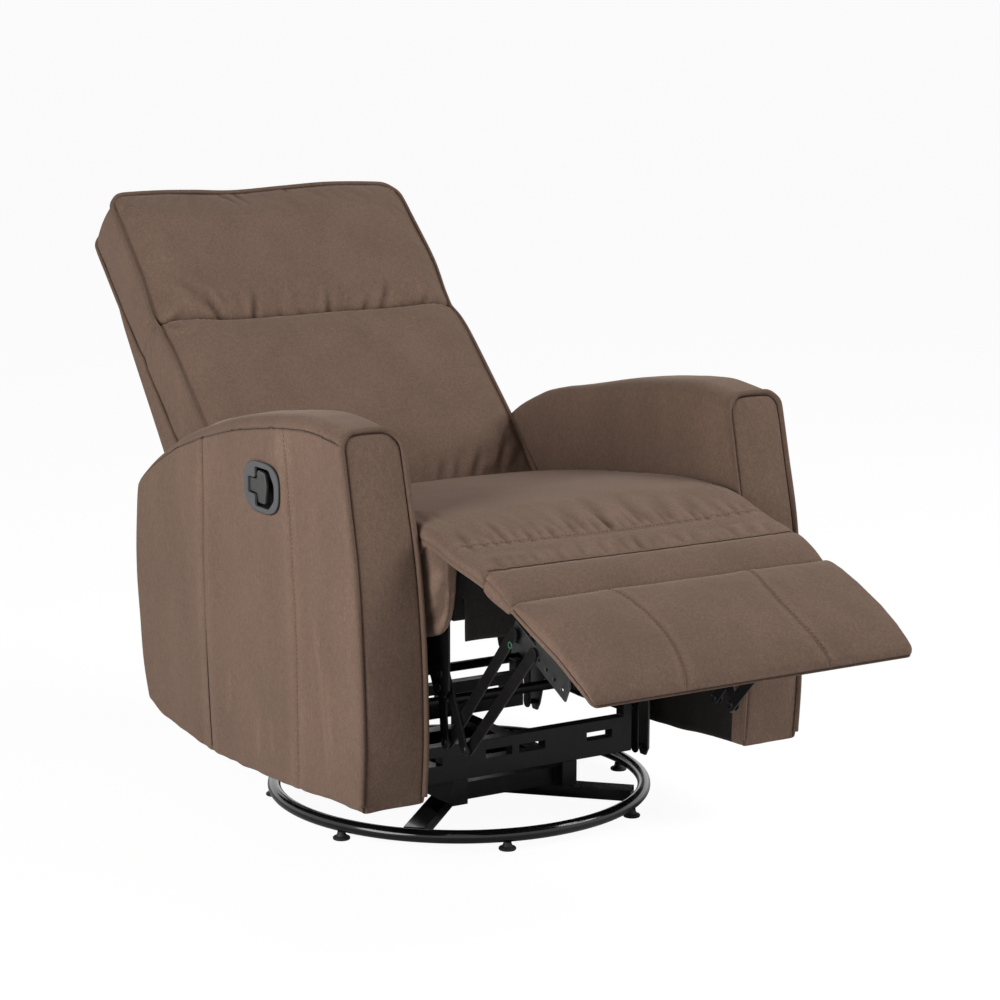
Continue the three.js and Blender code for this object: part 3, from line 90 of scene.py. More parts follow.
def evenly(line, count):
    """The same line with its points at even steps."""
    gone = np.r_[0, np.cumsum(np.linalg.norm(np.diff(line, axis=0), axis=1))]
    even = np.linspace(0, gone[-1], count)
    return np.stack([np.interp(even, gone, column) for column in line.T], 1)


def line_through(points, count=240):
    """A smooth line through the points, cut into even steps."""
    points = np.array(points, float)
    ends = np.vstack([2 * points[0] - points[1], points, 2 * points[-1] - points[-2]])
    share = np.linspace(0, 1, 24, endpoint=False)[:, None]
    rows = []
    for a, b, c, d in zip(ends, ends[1:], ends[2:], ends[3:]):
        rows.append(0.5 * (2 * b + (c - a) * share + (2 * a - 5 * b + 4 * c - d) * share**2
                           + (3 * b - a - 3 * c + d) * share**3))
    rows.append(points[-1:])
    return evenly(np.vstack(rows), count)


def along(line, share):
    """Places on an even line at shares of its length."""
    at = np.linspace(0, 1, len(line))
    return np.stack([np.interp(share, at, column) for column in line.T], 1)


def panel(front, rear, lower, upper, v, w):
    """Places between four lines: v runs from front to rear, w from lower to upper."""
    a, b = v[:, None], w[:, None]
    edges = (1 - b) * along(lower, v) + b * along(upper, v)
    edges += (1 - a) * along(front, w) + a * along(rear, w)
    corners = (1 - a) * ((1 - b) * lower[0] + b * upper[0])
    corners += a * ((1 - b) * lower[-1] + b * upper[-1])
    return edges - corners


# Profiles of edges, seams and folds


def smooth(value, start, end):
    """0 before start, 1 after end and an easy slope between."""
    share = np.clip((value - start) / (end - start), 0, 1)
    return share * share * (3 - 2 * share)


def roll(distance, radius):
    """How high a stuffed edge has risen at a distance from its seam, from 0 to 1."""
    share = np.clip(distance / radius, 0, 1)
    return np.sqrt(np.clip(1 - (1 - share) ** 2, 0, 1))


def puff(distance, reach):
    """How high a softer edge has risen at a distance from its seam, from 0 to 1."""
    return np.sin(np.clip(distance / reach, 0, 1) * math.pi / 2)


def arch(share):
    """1 in the middle of a span, and 0 at and beyond its ends."""
    return np.clip(1 - (2 * share - 1) ** 2, 0, 1)


def hump(distance, width=1.8 * MM, at=0.0):
    """A soft ridge, 1 at the given distance on both sides, and as narrow as a seam's groove unless set."""
    return np.exp(-(((np.abs(distance) - at) / width) ** 2))


def sewn(distance, ridge, groove):
    """A seam's groove, with a soft ridge on both sides."""
    return ridge * hump(distance, 6 * MM, 9 * MM) - groove * hump(distance)


def rounded(a, b, radius):
    """Distances from two faces that meet at an edge, once the edge is rounded."""
    left = np.maximum(radius - np.minimum(a, b), 1e-9)
    turn = math.pi / 4 * (1 + (a - b) / left)
    near = np.maximum(a, b) < radius
    return [np.where(near, radius - left * bend(turn), far) for bend, far in ((np.cos, a), (np.sin, b))]


def inwards(share, width):
    """Distances from the nearer of two sides."""
    return np.minimum(share, 1 - share) * width


def across(share, half, off):
    """Places across a width, from distances off the nearer side."""
    return np.where(share > 0.5, half - off, off - half)


def at_sides(share):
    """1 on a block's two side faces, and 0 between them."""
    return (np.abs(2 * share - 1) > 0.999) * 1.0


def waves(points, size, seed, stretch=(1, 1, 1)):
    """Soft noise from -1 to 1 at each point."""
    scaled = points / size / np.array(stretch) + seed * 7.31
    return np.array([noise.noise(Vector(p)) for p in scaled])


def by_line(x, run, start, line, ends=False):
    """Each point's share along a straight line, and its distance from it, or from its nearer end."""
    share = ((x - start[0]) * line[0] + (run - start[1]) * line[1]) / (line @ line)
    if ends:
        share = np.clip(share, 0, 1)
    return share, np.hypot(x - start[0] - share * line[0], run - start[1] - share * line[1])


def crease(x, run, start, end, width):
    """A ridge along a straight line, from 0 to 1."""
    share, off = by_line(x, run, start, np.subtract(end, start))
    return hump(off, width) * arch(share)


def folded(x, run, folds):
    """Valleys along lines given in millimetres, deepest near their start, with a soft ridge on both sides."""
    total = np.zeros(len(x))
    for start, end, depth, width in folds:
        share, off = by_line(x, run, np.array(start) * MM, np.subtract(end, start) * MM, ends=True)
        width *= 1.25 * MM
        profile = 0.6 * hump(off - 2.3 * width, 1.3 * width) - hump(off, width)
        total += 1.4 * depth * MM * np.sin(np.pi * share**0.55) * profile
    return total


def gathers(x, from_seam, seed, reach, pitch):
    """Short folds that run up from a gathered seam."""
    line = np.column_stack([x / pitch, np.zeros_like(x), from_seam / 0.12])
    return waves(line, 1.0, seed) * np.exp(-np.clip(from_seam, 0, None) / reach)


# Meshes


def stations(length, step, seams=(), width=2.2 * MM):
    """Shares of a length at even steps, with closer ones on both sides of each seam."""
    places = list(np.linspace(0, length, max(2, round(length / step)) + 1))
    for seam in seams:
        places = [p for p in places if abs(p - seam) > 2.6 * width or p in (0, length)]
        places += [seam + k * width for k in (-2, -1, 0, 1, 2) if 0 < seam + k * width < length]
    return np.array(sorted(places)) / length


def block(cuts):
    """A closed block from 0 to 1, cut along x, y and z at the given shares."""
    mesh = bmesh.new()
    cells = [len(row) - 1 for row in cuts]
    for axis in range(3):
        a, b = (axis + 1) % 3, (axis + 2) % 3
        for end in (0, 1):
            place = Matrix.Diagonal((0, 0, 0, 1))
            place[a][0] = place[b][1] = place[axis][2] = 1
            place[a][3] = place[b][3] = 0.5
            place[axis][3] = end
            bmesh.ops.create_grid(mesh, x_segments=cells[a], y_segments=cells[b], size=0.5, matrix=place)
    bmesh.ops.remove_doubles(mesh, verts=mesh.verts, dist=1e-5)
    bmesh.ops.recalc_face_normals(mesh, faces=mesh.faces)
    return mesh


def points_of(mesh):
    """The mesh's points as an array."""
    points = np.zeros(len(mesh.vertices) * 3, np.float32)
    mesh.vertices.foreach_get("co", points)
    return points.reshape(-1, 3).astype(float)


def set_points(mesh, points):
    """Moves the mesh's points."""
    mesh.vertices.foreach_set("co", points.astype(np.float32).ravel())
    mesh.update()


def push(mesh, amount):
    """Moves the mesh's points outwards along their normals."""
    normals = np.zeros(len(mesh.vertices) * 3, np.float32)
    mesh.vertex_normals.foreach_get("vector", normals)
    set_points(mesh, points_of(mesh) + normals.reshape(-1, 3) * np.asarray(amount)[:, None])


def paint_fold_shade(mesh, relief):
    """Stores painted shade as a point attribute: darker in folds and seams, and paler on their ridges as a
    painted highlight.
    """
    nap = mesh.attributes.new("nap", "FLOAT", "POINT")
    nap.data.foreach_set("value", np.clip(relief / MM * 0.13, -0.34, 0.16).astype(np.float32))


def to_mesh(name, solid):
    """A mesh made from a solid under construction, which is freed."""
    mesh = bpy.data.meshes.new(name)
    solid.to_mesh(mesh)
    solid.free()
    return mesh


def formed(name, cuts, shape):
    """A mesh made from a cut block, and the shares that each of its points had in it."""
    mesh = to_mesh(name, block(cuts))
    shares = points_of(mesh)
    for axis, row in enumerate(cuts):
        shares[:, axis] = np.interp(shares[:, axis] * (len(row) - 1), np.arange(len(row)), row)
    set_points(mesh, shape(*shares.T))
    solid = bmesh.new()
    solid.from_mesh(mesh)
    if solid.calc_volume(signed=True) < 0:  # drawn as a mirror image, so turned the right way out
        mesh.flip_normals()
    solid.free()
    return mesh, shares


def skin(loops, closed=False):
    """A surface over closed loops of equally many points, with its ends filled."""
    loops = np.asarray(loops, float)
    if closed:
        loops = np.concatenate([loops, loops[:1]])
    count, around = loops.shape[:2]
    mesh = bmesh.new()
    bmesh.ops.create_grid(mesh, x_segments=count - 1, y_segments=around, size=0.5)
    mesh.verts.ensure_lookup_table()
    for j in range(around + 1):
        for i in range(count):
            mesh.verts[j * count + i].co = loops[i, j % around]
    bmesh.ops.remove_doubles(mesh, verts=mesh.verts, dist=1e-6)
    rim = [edge for edge in mesh.edges if edge.is_boundary]
    if rim:
        bmesh.ops.holes_fill(mesh, edges=rim, sides=0)
    bmesh.ops.recalc_face_normals(mesh, faces=mesh.faces)
    return mesh


def tube(path, radius, sides=8, closed=False):
    """A round cord along a line of points."""
    path = np.asarray(path, float)
    ahead = np.roll(path, -1, 0) - np.roll(path, 1, 0)
    if not closed:
        ahead[0], ahead[-1] = path[1] - path[0], path[-1] - path[-2]
    loops = []
    side = Vector(ahead[0]).orthogonal().normalized()
    turn = np.arange(sides) * 2 * math.pi / sides
    for place, run in zip(path, ahead):
        run = Vector(run).normalized()
        side = (side - run * side.dot(run)).normalized()
        loops.append(place + radius * (np.outer(np.cos(turn), side) + np.outer(np.sin(turn), run.cross(side))))
    return skin(loops, closed)


def lathe(profile, place, axis, sides):
    """A body turned about an axis, from pairs of a radius and a place along the axis."""
    turn = np.arange(sides) * 2 * math.pi / sides
    loops = []
    for radius, height in profile:
        flat = [radius * np.cos(turn), radius * np.sin(turn)]
        flat.insert(axis, np.full(sides, height))
        loops.append(np.stack(flat, 1) + place)
    return skin(loops)


# Finishes


class Look:
    """A material while it is made: its nodes, and ways to add to them."""

    def __init__(self, name, colour, roughness, metallic=0.0):
        self.material = bpy.data.materials.new(name)
        self.material.use_nodes = True
        self.nodes, self.links = self.material.node_tree.nodes, self.material.node_tree.links
        self.shader = self.nodes["Principled BSDF"]
        self.place = self.nodes.new("ShaderNodeTexCoord").outputs["Object"]
        self.colour = np.array(colour)
        self.values({"Base Color": (*colour, 1), "Roughness": roughness, "Metallic": metallic})

    def values(self, sockets):
        """Sets constant values on the shader."""
        for socket, value in sockets.items():
            self.shader.inputs[socket].default_value = value

    def show(self, output, socket="Base Color"):
        """Leads an output to the shader."""
        self.links.new(output, self.shader.inputs[socket])

    def grain(self, scale, detail, stretch=None, roughness=0.5):
        """A noise pattern on the object's own coordinates."""
        place = self.place
        if stretch:
            mapping = self.nodes.new("ShaderNodeMapping")
            mapping.inputs["Scale"].default_value = stretch
            self.links.new(place, mapping.inputs["Vector"])
            place = mapping.outputs["Vector"]
        texture = self.nodes.new("ShaderNodeTexNoise")
        texture.inputs["Scale"].default_value = scale
        texture.inputs["Detail"].default_value = detail
        texture.inputs["Roughness"].default_value = roughness
        self.links.new(place, texture.inputs["Vector"])
        return texture.outputs["Fac"]

    def ramp(self, factor, *stops):
        """A colour ramp on a factor, from pairs of a place and a colour."""
        ramp = self.nodes.new("ShaderNodeValToRGB")
        while len(ramp.color_ramp.elements) < len(stops):
            ramp.color_ramp.elements.new(0.5)
        for element, (place, colour) in zip(ramp.color_ramp.elements, stops):
            element.position = place
            element.color = (*colour, 1)
        self.links.new(factor, ramp.inputs["Fac"])
        return ramp.outputs["Color"]

    def shades(self, factor, darkest, palest):
        """A ramp between two strengths of the finish's colour."""
        return self.ramp(factor, (0.3, self.colour * darkest), (0.7, self.colour * palest))

    def levels(self, factor, low, high, start=0.3, end=0.7):
        """A ramp between two greys."""
        return self.ramp(factor, (start, (low,) * 3), (end, (high,) * 3))

    def multiplied(self, first, second):
        """Two colours multiplied."""
        mix = self.nodes.new("ShaderNodeMix")
        mix.data_type = "RGBA"
        mix.blend_type = "MULTIPLY"
        mix.inputs[0].default_value = 1.0
        self.links.new(first, mix.inputs[6])
        self.links.new(second, mix.inputs[7])
        return mix.outputs[2]

    def sum_of(self, operation, first, second):
        """A sum on an output and a value."""
        node = self.nodes.new("ShaderNodeMath")
        node.operation = operation
        self.links.new(first, node.inputs[0])
        node.inputs[1].default_value = second
        return node.outputs[0]

    def bump(self, height, strength, distance, under=None):
        """Adds a bump to the shader, over another one if given."""
        bump = self.nodes.new("ShaderNodeBump")
        bump.inputs["Strength"].default_value = strength
        bump.inputs["Distance"].default_value = distance
        self.links.new(height, bump.inputs["Height"])
        if under:
            self.links.new(under, bump.inputs["Normal"])
        self.show(bump.outputs["Normal"], "Normal")
        return bump.outputs["Normal"]


# The specks of brushed cloth: size of the pattern, detail, how it is stretched, and share of the contrast.
SPECKS = ((240, 3, (1, 1, 0.4), 0.6), (620, 3, (1, 1, 0.6), 1.2), (1500, 2, None, 1))


def cloth(name, colour, mottle=0.07, speckle=0.17):
    """Brushed cloth: short fibres that catch the light, with soft uneven mottling, and painted shade in its
    folds and seams and a painted highlight on their ridges, read from a point attribute.
    """
    look = Look(name, colour, 0.92)
    mixed = look.shades(look.grain(14, 5, (1, 1, 0.5)), 1 - mottle, 1 + mottle)
    for scale, detail, stretch, share in SPECKS:
        fleck = look.grain(scale, detail, stretch, 0.6)
        mixed = look.multiplied(mixed, look.levels(fleck, 1 - speckle * share, 1 + speckle * share))
    # The point attribute multiplies the colour: painted shade in folds and seams, painted highlight on their
    # ridges.
    nap = look.nodes.new("ShaderNodeAttribute")
    nap.attribute_name = "nap"
    look.show(look.multiplied(mixed, look.sum_of("ADD", nap.outputs["Fac"], 1)))
    look.values({"Sheen Weight": 0.3, "Sheen Roughness": 0.45, "Sheen Tint": (0.62, 0.52, 0.45, 1),
                 "Specular IOR Level": 0.2})
    soft = look.bump(look.grain(70, 3), 0.2, 0.001)
    look.bump(look.grain(700, 3), 0.3, 0.0004, soft)
    return look.material


def enamel(name, colour, roughness, coat=0.0, wear=0.08):
    """Painted steel with small uneven spots in its gloss."""
    look = Look(name, colour, roughness)
    spots = look.grain(70, 4, None, 0.6)
    look.show(look.levels(spots, roughness - wear, roughness + wear, end=0.75), "Roughness")
    look.show(look.shades(look.grain(16, 3), 0.75, 1.35))
    look.values({"Specular IOR Level": 0.3, "Coat Weight": coat, "Coat Roughness": 0.06})
    look.bump(look.grain(900, 2), 0.12, 0.0003)
    return look.material


def bare_metal(name, colour, roughness):
    """Zinc coated or bright steel with fine drawn lines."""
    look = Look(name, colour, roughness, 1.0)
    lines = look.grain(1400, 3, (1, 0.08, 1))
    look.show(look.levels(lines, roughness - 0.09, roughness + 0.14, 0.25, 0.75), "Roughness")
    look.show(look.shades(look.grain(38, 4), 0.78, 1.12))
    look.bump(lines, 0.1, 0.0003)
    return look.material


def plywood(name, pale, dark):
    """Pale ply with long brown lines."""
    look = Look(name, pale, 0.62)
    rings = look.grain(22, 6, (6, 0.35, 6), 0.6)
    fibre = look.grain(260, 3, (3, 0.12, 3))
    base = look.ramp(rings, (0.32, dark), (0.5, pale), (0.7, look.colour * 0.86))
    look.show(look.multiplied(base, look.levels(fibre, 0.8, 1.08)))
    look.bump(fibre, 0.25, 0.0005)
    return look.material


def moulded(name, colour, roughness, scale=1600):
    """Moulded plastic or rubber with a fine etched grain."""
    look = Look(name, colour, roughness)
    fine = look.grain(scale, 2)
    look.show(look.shades(look.grain(45, 3), 0.88, 1.12))
    look.show(look.levels(fine, roughness - 0.05, roughness + 0.07), "Roughness")
    look.bump(fine, 0.18, 0.0002)
    return look.material


def floor_paint(name):
    """A white floor that the camera sees bright, and that keeps the chair's shadow."""
    look = Look(name, (0.86, 0.86, 0.86), 0.75)
    look.show(look.levels(look.grain(1.3, 2), 0.85, 0.88))
    look.values({"Specular IOR Level": 0.1})
    glow = look.nodes.new("ShaderNodeEmission")
    glow.inputs["Color"].default_value = (1, 1, 1, 1)
    glow.inputs["Strength"].default_value = 1.1
    ray = look.nodes.new("ShaderNodeLightPath").outputs["Is Camera Ray"]
    mix = look.nodes.new("ShaderNodeMixShader")
    look.links.new(look.sum_of("MULTIPLY", ray, 0.86), mix.inputs[0])
    look.links.new(look.shader.outputs[0], mix.inputs[1])
    look.links.new(glow.outputs[0], mix.inputs[2])
    look.links.new(mix.outputs[0], look.nodes["Material Output"].inputs["Surface"])
    return look.material


class Finishes(bpy.types.PropertyGroup):
    """Colours of the finishes."""
    fabric: FloatVectorProperty(name="Cloth", description="Colour of the brown cloth", subtype="COLOR",
                                default=(0.204, 0.1325, 0.0975), min=0, max=1)
    steel: FloatVectorProperty(name="Steel", description="Colour of the painted steel", subtype="COLOR",
                               default=(0.006, 0.006, 0.0065), min=0, max=1)
    handle: FloatVectorProperty(name="Handle", description="Colour of the handle's plastic", subtype="COLOR",
                                default=(0.05, 0.05, 0.048), min=0, max=1)


# Each finish: its material slot, what makes it, its colour or the strength of a set colour, and the rest.
FINISHES = {
    "brown_cloth": ("upholstery", cloth, ("fabric", 1)),
    "piping_cloth": ("upholstery", cloth, ("fabric", 0.88), 0.06, 0.12),
    "thread": ("upholstery", cloth, ("fabric", 0.7), 0.05, 0.1),
    "seam_shadow": ("upholstery", cloth, ("fabric", 0.3), 0.05, 0.1),
    "black_lining": ("upholstery", cloth, (0.012, 0.012, 0.012), 0.2, 0.3),
    "black_enamel": ("black_steel", enamel, ("steel", 1), 0.36),
    "gloss_enamel": ("gloss_steel", enamel, ("steel", 1), 0.16, 0.5, 0.04),
    "zinc": ("grey_steel", bare_metal, (0.11, 0.112, 0.112), 0.42),
    "spring_wire": ("spring_steel", bare_metal, (0.07, 0.07, 0.072), 0.45),
    "ply": ("timber", plywood, (0.52, 0.36, 0.2), (0.3, 0.17, 0.08)),
    "grey_plastic": ("grey_plastic", moulded, ("handle", 1), 0.45),
    "lever_plastic": ("grey_plastic", moulded, ("handle", 1.45), 0.42),
    # Near-black plastic that stands in for the shade in the handle's gaps: painted shade.
    "dark_gap": ("grey_plastic", moulded, (0.01, 0.01, 0.011), 0.6),
    "rubber": ("black_rubber", moulded, (0.016, 0.016, 0.017), 0.62, 800),
    "green_mark": ("black_steel", moulded, (0.03, 0.16, 0.07), 0.5),
    "pale_floor": (None, floor_paint),
}


def finish(name):
    """A finish by its name, made when it is first asked for."""
    found = bpy.data.materials.get(name)
    if found:
        return found
    maker, *given = FINISHES[name][1:]
    if given and isinstance(given[0][0], str):
        setting, strength = given[0]
        given[0] = tuple(np.array(getattr(bpy.context.scene.recliner_finishes, setting)) * strength)
    return maker(name, *given)


# Pieces


def add_piece(name, mesh, finishes, body=None, replaces=(), sharp=None):
    """Puts a mesh into the scene as a piece of the chair, with its finishes as materials."""
    if isinstance(mesh, bmesh.types.BMesh):
        mesh = to_mesh(name, mesh)
    mesh.transform(Matrix.Translation(SHIFT))
    mesh.shade_smooth()
    if sharp is not None:
        mesh.set_sharp_from_angle(angle=math.radians(sharp))
    for given in finishes.split():
        mesh.materials.append(finish(given))
    piece = bpy.data.objects.new(name, mesh)
    bpy.context.scene.collection.objects.link(piece)
    if body:
        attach(piece, body)
    if replaces:
        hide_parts(*replaces)
    return piece


def joined(parts):
    """Several small solids as one."""
    whole = bmesh.new()
    for part in parts:
        mesh = to_mesh("part", part)
        whole.from_mesh(mesh)
        bpy.data.meshes.remove(mesh)
    return whole


def surface(piece):
    """A search tree over a piece, to lay seams on it."""
    solid = bmesh.new()
    solid.from_mesh(piece.data)
    tree = BVHTree.FromBMesh(solid)
    solid.free()
    return tree


def laid(tree, path, lift):
    """A path brought down onto a piece, and the direction outwards at each place."""
    places, outwards = [], []
    for place in path:
        near, normal, _, _ = tree.find_nearest(Vector(place) + SHIFT)
        places.append(near + normal * lift - SHIFT)
        outwards.append(normal)
    return np.array(places), np.array(outwards)


def seam_shadow_cord(tree, path, radius=0.75 * MM):
    """A thin dark cord laid in a seam's groove along a path, as the groove's painted shadow."""
    return tube(laid(tree, evenly(path, 160), radius * 0.15)[0], radius, 6)


def stitches(tree, path, pitch=6.5 * MM, length=4.2 * MM, radius=0.55 * MM):
    """A row of stitches laid on a piece along a path."""
    total = np.linalg.norm(np.diff(path, axis=0), axis=1).sum()
    places, outwards = laid(tree, evenly(path, max(3, round(total / pitch))), radius * 0.4)
    size = Matrix.Diagonal((length / 2, radius, radius, 1))
    row = bmesh.new()
    for before, place, after, up in zip(places, places[1:], places[2:], outwards[1:]):
        run = Vector(after - before).normalized()
        up = (Vector(up) - run * Vector(up).dot(run)).normalized()
        turn = Matrix((run, run.cross(up), up)).transposed().to_4x4()
        bmesh.ops.create_icosphere(row, subdivisions=1, radius=1,
                                   matrix=Matrix.Translation(place) @ turn @ size)
    return row


def cut_out(piece, cutter):
    """Takes a closed solid's room out of a piece."""
    mesh = to_mesh("cutter", cutter)
    mesh.transform(Matrix.Translation(SHIFT))
    tool = bpy.data.objects.new("cutter", mesh)
    bpy.context.scene.collection.objects.link(tool)
    modifier = piece.modifiers.new("opening", "BOOLEAN")
    modifier.operation = "DIFFERENCE"
    modifier.solver = "EXACT"
    modifier.object = tool
    bpy.context.view_layer.update()
    graph = bpy.context.evaluated_depsgraph_get()
    opened = bpy.data.meshes.new_from_object(piece.evaluated_get(graph))
    piece.modifiers.clear()
    piece.data = opened
    bpy.data.objects.remove(tool)
    bpy.data.meshes.remove(mesh)


def length_of(name, description, default):
    """A length that can be set in the panel."""
    return FloatProperty(name=name, description=description, default=default, unit="LENGTH")


class StuffingSizes(bpy.types.PropertyGroup):
    """How the cushions are filled."""
    pressure: FloatProperty(name="Pressure", description="Pressure inside a cushion", default=4.0)
    slack: FloatProperty(name="Slack", description="Share by which the cloth is larger than its pattern",
                         default=0.02)
    limit: length_of("Limit", "Furthest that the cloth may move", 8 * MM)


def stuffed(mesh, held, share=1.0):
    """Fills a cover by cloth simulation: it swells where it isn't held, and no further than its limit."""
    scene = bpy.context.scene
    sizes = scene.recliner_stuffing
    piece = bpy.data.objects.new("stuffing", mesh.copy())
    scene.collection.objects.link(piece)
    group = piece.vertex_groups.new(name="held")
    for index in np.flatnonzero(held > 0):
        group.add([int(index)], float(held[index]), "REPLACE")
    simulation = piece.modifiers.new("stuffing", "CLOTH")
    simulation.collision_settings.use_collision = False
    fabric = simulation.settings
    fabric.quality = 2
    fabric.vertex_group_mass = "held"
    fabric.use_pressure = True
    fabric.uniform_pressure_force = sizes.pressure
    fabric.shrink_min = -sizes.slack
    fabric.bending_stiffness = 0.4
    fabric.effector_weights.gravity = 0
    for number in range(1, 21):
        scene.frame_set(number)
    swollen = piece.evaluated_get(bpy.context.evaluated_depsgraph_get()).data
    start = points_of(mesh)
    moved = points_of(swollen) - start
    length = np.linalg.norm(moved, axis=1)
    moved *= share * np.minimum(1, sizes.limit / np.maximum(length, 1e-9))[:, None]
    set_points(mesh, start + moved)
    copy = piece.data
    bpy.data.objects.remove(piece)
    bpy.data.meshes.remove(copy)
    scene.frame_set(1)


# Arms

ARM_FRONT = line_through([(-0.361, 0.123), (-0.367, 0.224), (-0.362, 0.34), (-0.348, 0.456), (-0.326, 0.549),
                          (-0.308, 0.622), (-0.300, 0.641)])
ARM_UPPER = line_through([(-0.300, 0.641), (-0.28, 0.645), (-0.246, 0.6485), (-0.196, 0.6495), (-0.105, 0.641),
                          (0.022, 0.6195), (0.139, 0.588), (0.2, 0.568), (0.236, 0.552), (0.273, 0.534),
                          (0.312, 0.512), (0.34, 0.492), (0.358, 0.471)])
ARM_REAR = line_through([(0.330, 0.132), (0.357, 0.217), (0.37, 0.346), (0.367, 0.434), (0.358, 0.471)])
ARM_LOWER = line_through([(-0.361, 0.123), (-0.272, 0.118), (-0.183, 0.11), (0.008, 0.1), (0.143, 0.0995),
                          (0.274, 0.114), (0.330, 0.132)])
ARM_RUN, ARM_RISE = 0.68, 0.53
# The side's two upright seams: shares along at their lower and upper ends, and how deep they draw in.
FRONT_SEAM, REAR_SEAM = (0.266, 0.238), (0.665, 0.615)
SEAM_MIDDLES = [sum(seam) / 2 for seam in (FRONT_SEAM, REAR_SEAM)]
SEAM_SHARES = (0.5, 1.25)
BAND_SEAM, WELT_SEAM = 16 * MM, 5 * MM
# Soft upright folds on the arm's outer side, as places along and up.
SIDE_FOLDS = [((-0.123, 0.617), (-0.117, 0.578)), ((-0.139, 0.623), (-0.144, 0.593)),
              ((-0.131, 0.62), (-0.13, 0.585)), ((-0.24, 0.342), (-0.272, 0.145)),
              ((-0.267, 0.31), (-0.284, 0.167)), ((0.038, 0.243), (0.043, 0.168)),
              ((-0.054, 0.19), (-0.058, 0.126)), ((-0.094, 0.2), (-0.105, 0.134)),
              ((-0.191, 0.274), (-0.197, 0.197)), ((-0.233, 0.372), (-0.243, 0.305))]
FOLD_HEIGHT, FOLD_WIDTH = 2.6 * MM, 5.5 * MM
# The cover's unevenness all over, finer, low on its outer side and on its front: height, the first two as
# shares of the ripple's, size, seed and how it is stretched.
UNEVEN = ((1, 0.11, 1, (1, 1, 1)), (0.5, 0.035, 3, (1, 1, 3)), (1.8 * MM, 0.03, 5, (1, 1, 7)),
          (1.2 * MM, 0.06, 9, (1, 1, 2)))
OUTER_EDGE, INNER_EDGE, FOOT_EDGE, REAR_EDGE, FRONT_EDGE = 23 * MM, 30 * MM, 8 * MM, 13 * MM, 3 * MM
FRONT_BULGE, REAR_LIFT, ARM_TAPER = 4 * MM, 21 * MM, 0.05
# The lining inside the arm ends at this height at the swivel's axis, and falls by this share to the rear.
LINING_TOP, LINING_SLOPE, LINING_FRONT, HEM = 0.432, 0.09, -0.335, 0.16


def leaned(v, w):
    """Leans the two upright seams of the side as they are sewn."""
    knots = [0, *SEAM_MIDDLES, 1]
    for hat, seam, at in zip(([0, 1, 0, 0], [0, 0, 1, 0]), (FRONT_SEAM, REAR_SEAM), SEAM_MIDDLES):
        v = v + np.interp(v, knots, hat) * (seam[0] + (seam[1] - seam[0]) * w - at)
    return v


def arm_shape(side, inner, outer, crown):
    """The padded arm: u across from its inner face, v to the rear, w up."""
    width = outer - inner

    def shape(u, v, w):
        off = inwards(u, width)
        top, low = (1 - w) * ARM_RISE, w * ARM_RISE
        near, far = v * ARM_RUN, (1 - v) * ARM_RUN
        off, top = rounded(off, top, np.where(u > 0.5, OUTER_EDGE, INNER_EDGE))
        off, low = rounded(off, low, FOOT_EDGE)
        off, far = rounded(off, far, REAR_EDGE)
        off, near = rounded(off, near, FRONT_EDGE)
        up = np.where(w > 0.5, 1 - top / ARM_RISE, low / ARM_RISE)
        back = np.where(v > 0.5, 1 - far / ARM_RUN, near / ARM_RUN)
        y, z = panel(ARM_FRONT, ARM_REAR, ARM_LOWER, ARM_UPPER, leaned(back, up), up).T
        z += crown * arch(u) * smooth(w, 0.93, 1)
        z += REAR_LIFT * smooth(y, 0, 0.28) * (1 - smooth(u, 0.1, 0.75)) * smooth(w, 0.75, 1)
        y -= FRONT_BULGE * arch(u) * (1 - smooth(v, 0, 0.02)) * smooth(w, 0, 0.1) * (1 - smooth(w, 0.9, 1))
        narrowed = 1 - ARM_TAPER * smooth(w, 0.45, 1)
        x = (inner + outer) / 2 + across(u, width / 2, off) * narrowed
        return np.stack([side * x, y, z], 1)
    return shape


class ArmSizes(bpy.types.PropertyGroup):
    """Sizes of the arm covers."""
    step: length_of("Mesh step", "Spacing of the cover's points", 6 * MM)
    crown: length_of("Crown", "How far the middle of the arm's top stands up", 4 * MM)
    seam_depth: length_of("Seam depth", "How far a seam draws the cover in", 2.6 * MM)
    piping: length_of("Piping radius", "Radius of the corded edge", 4.1 * MM)
    ripple: length_of("Ripple", "Height of the cover's soft unevenness", 1.4 * MM)


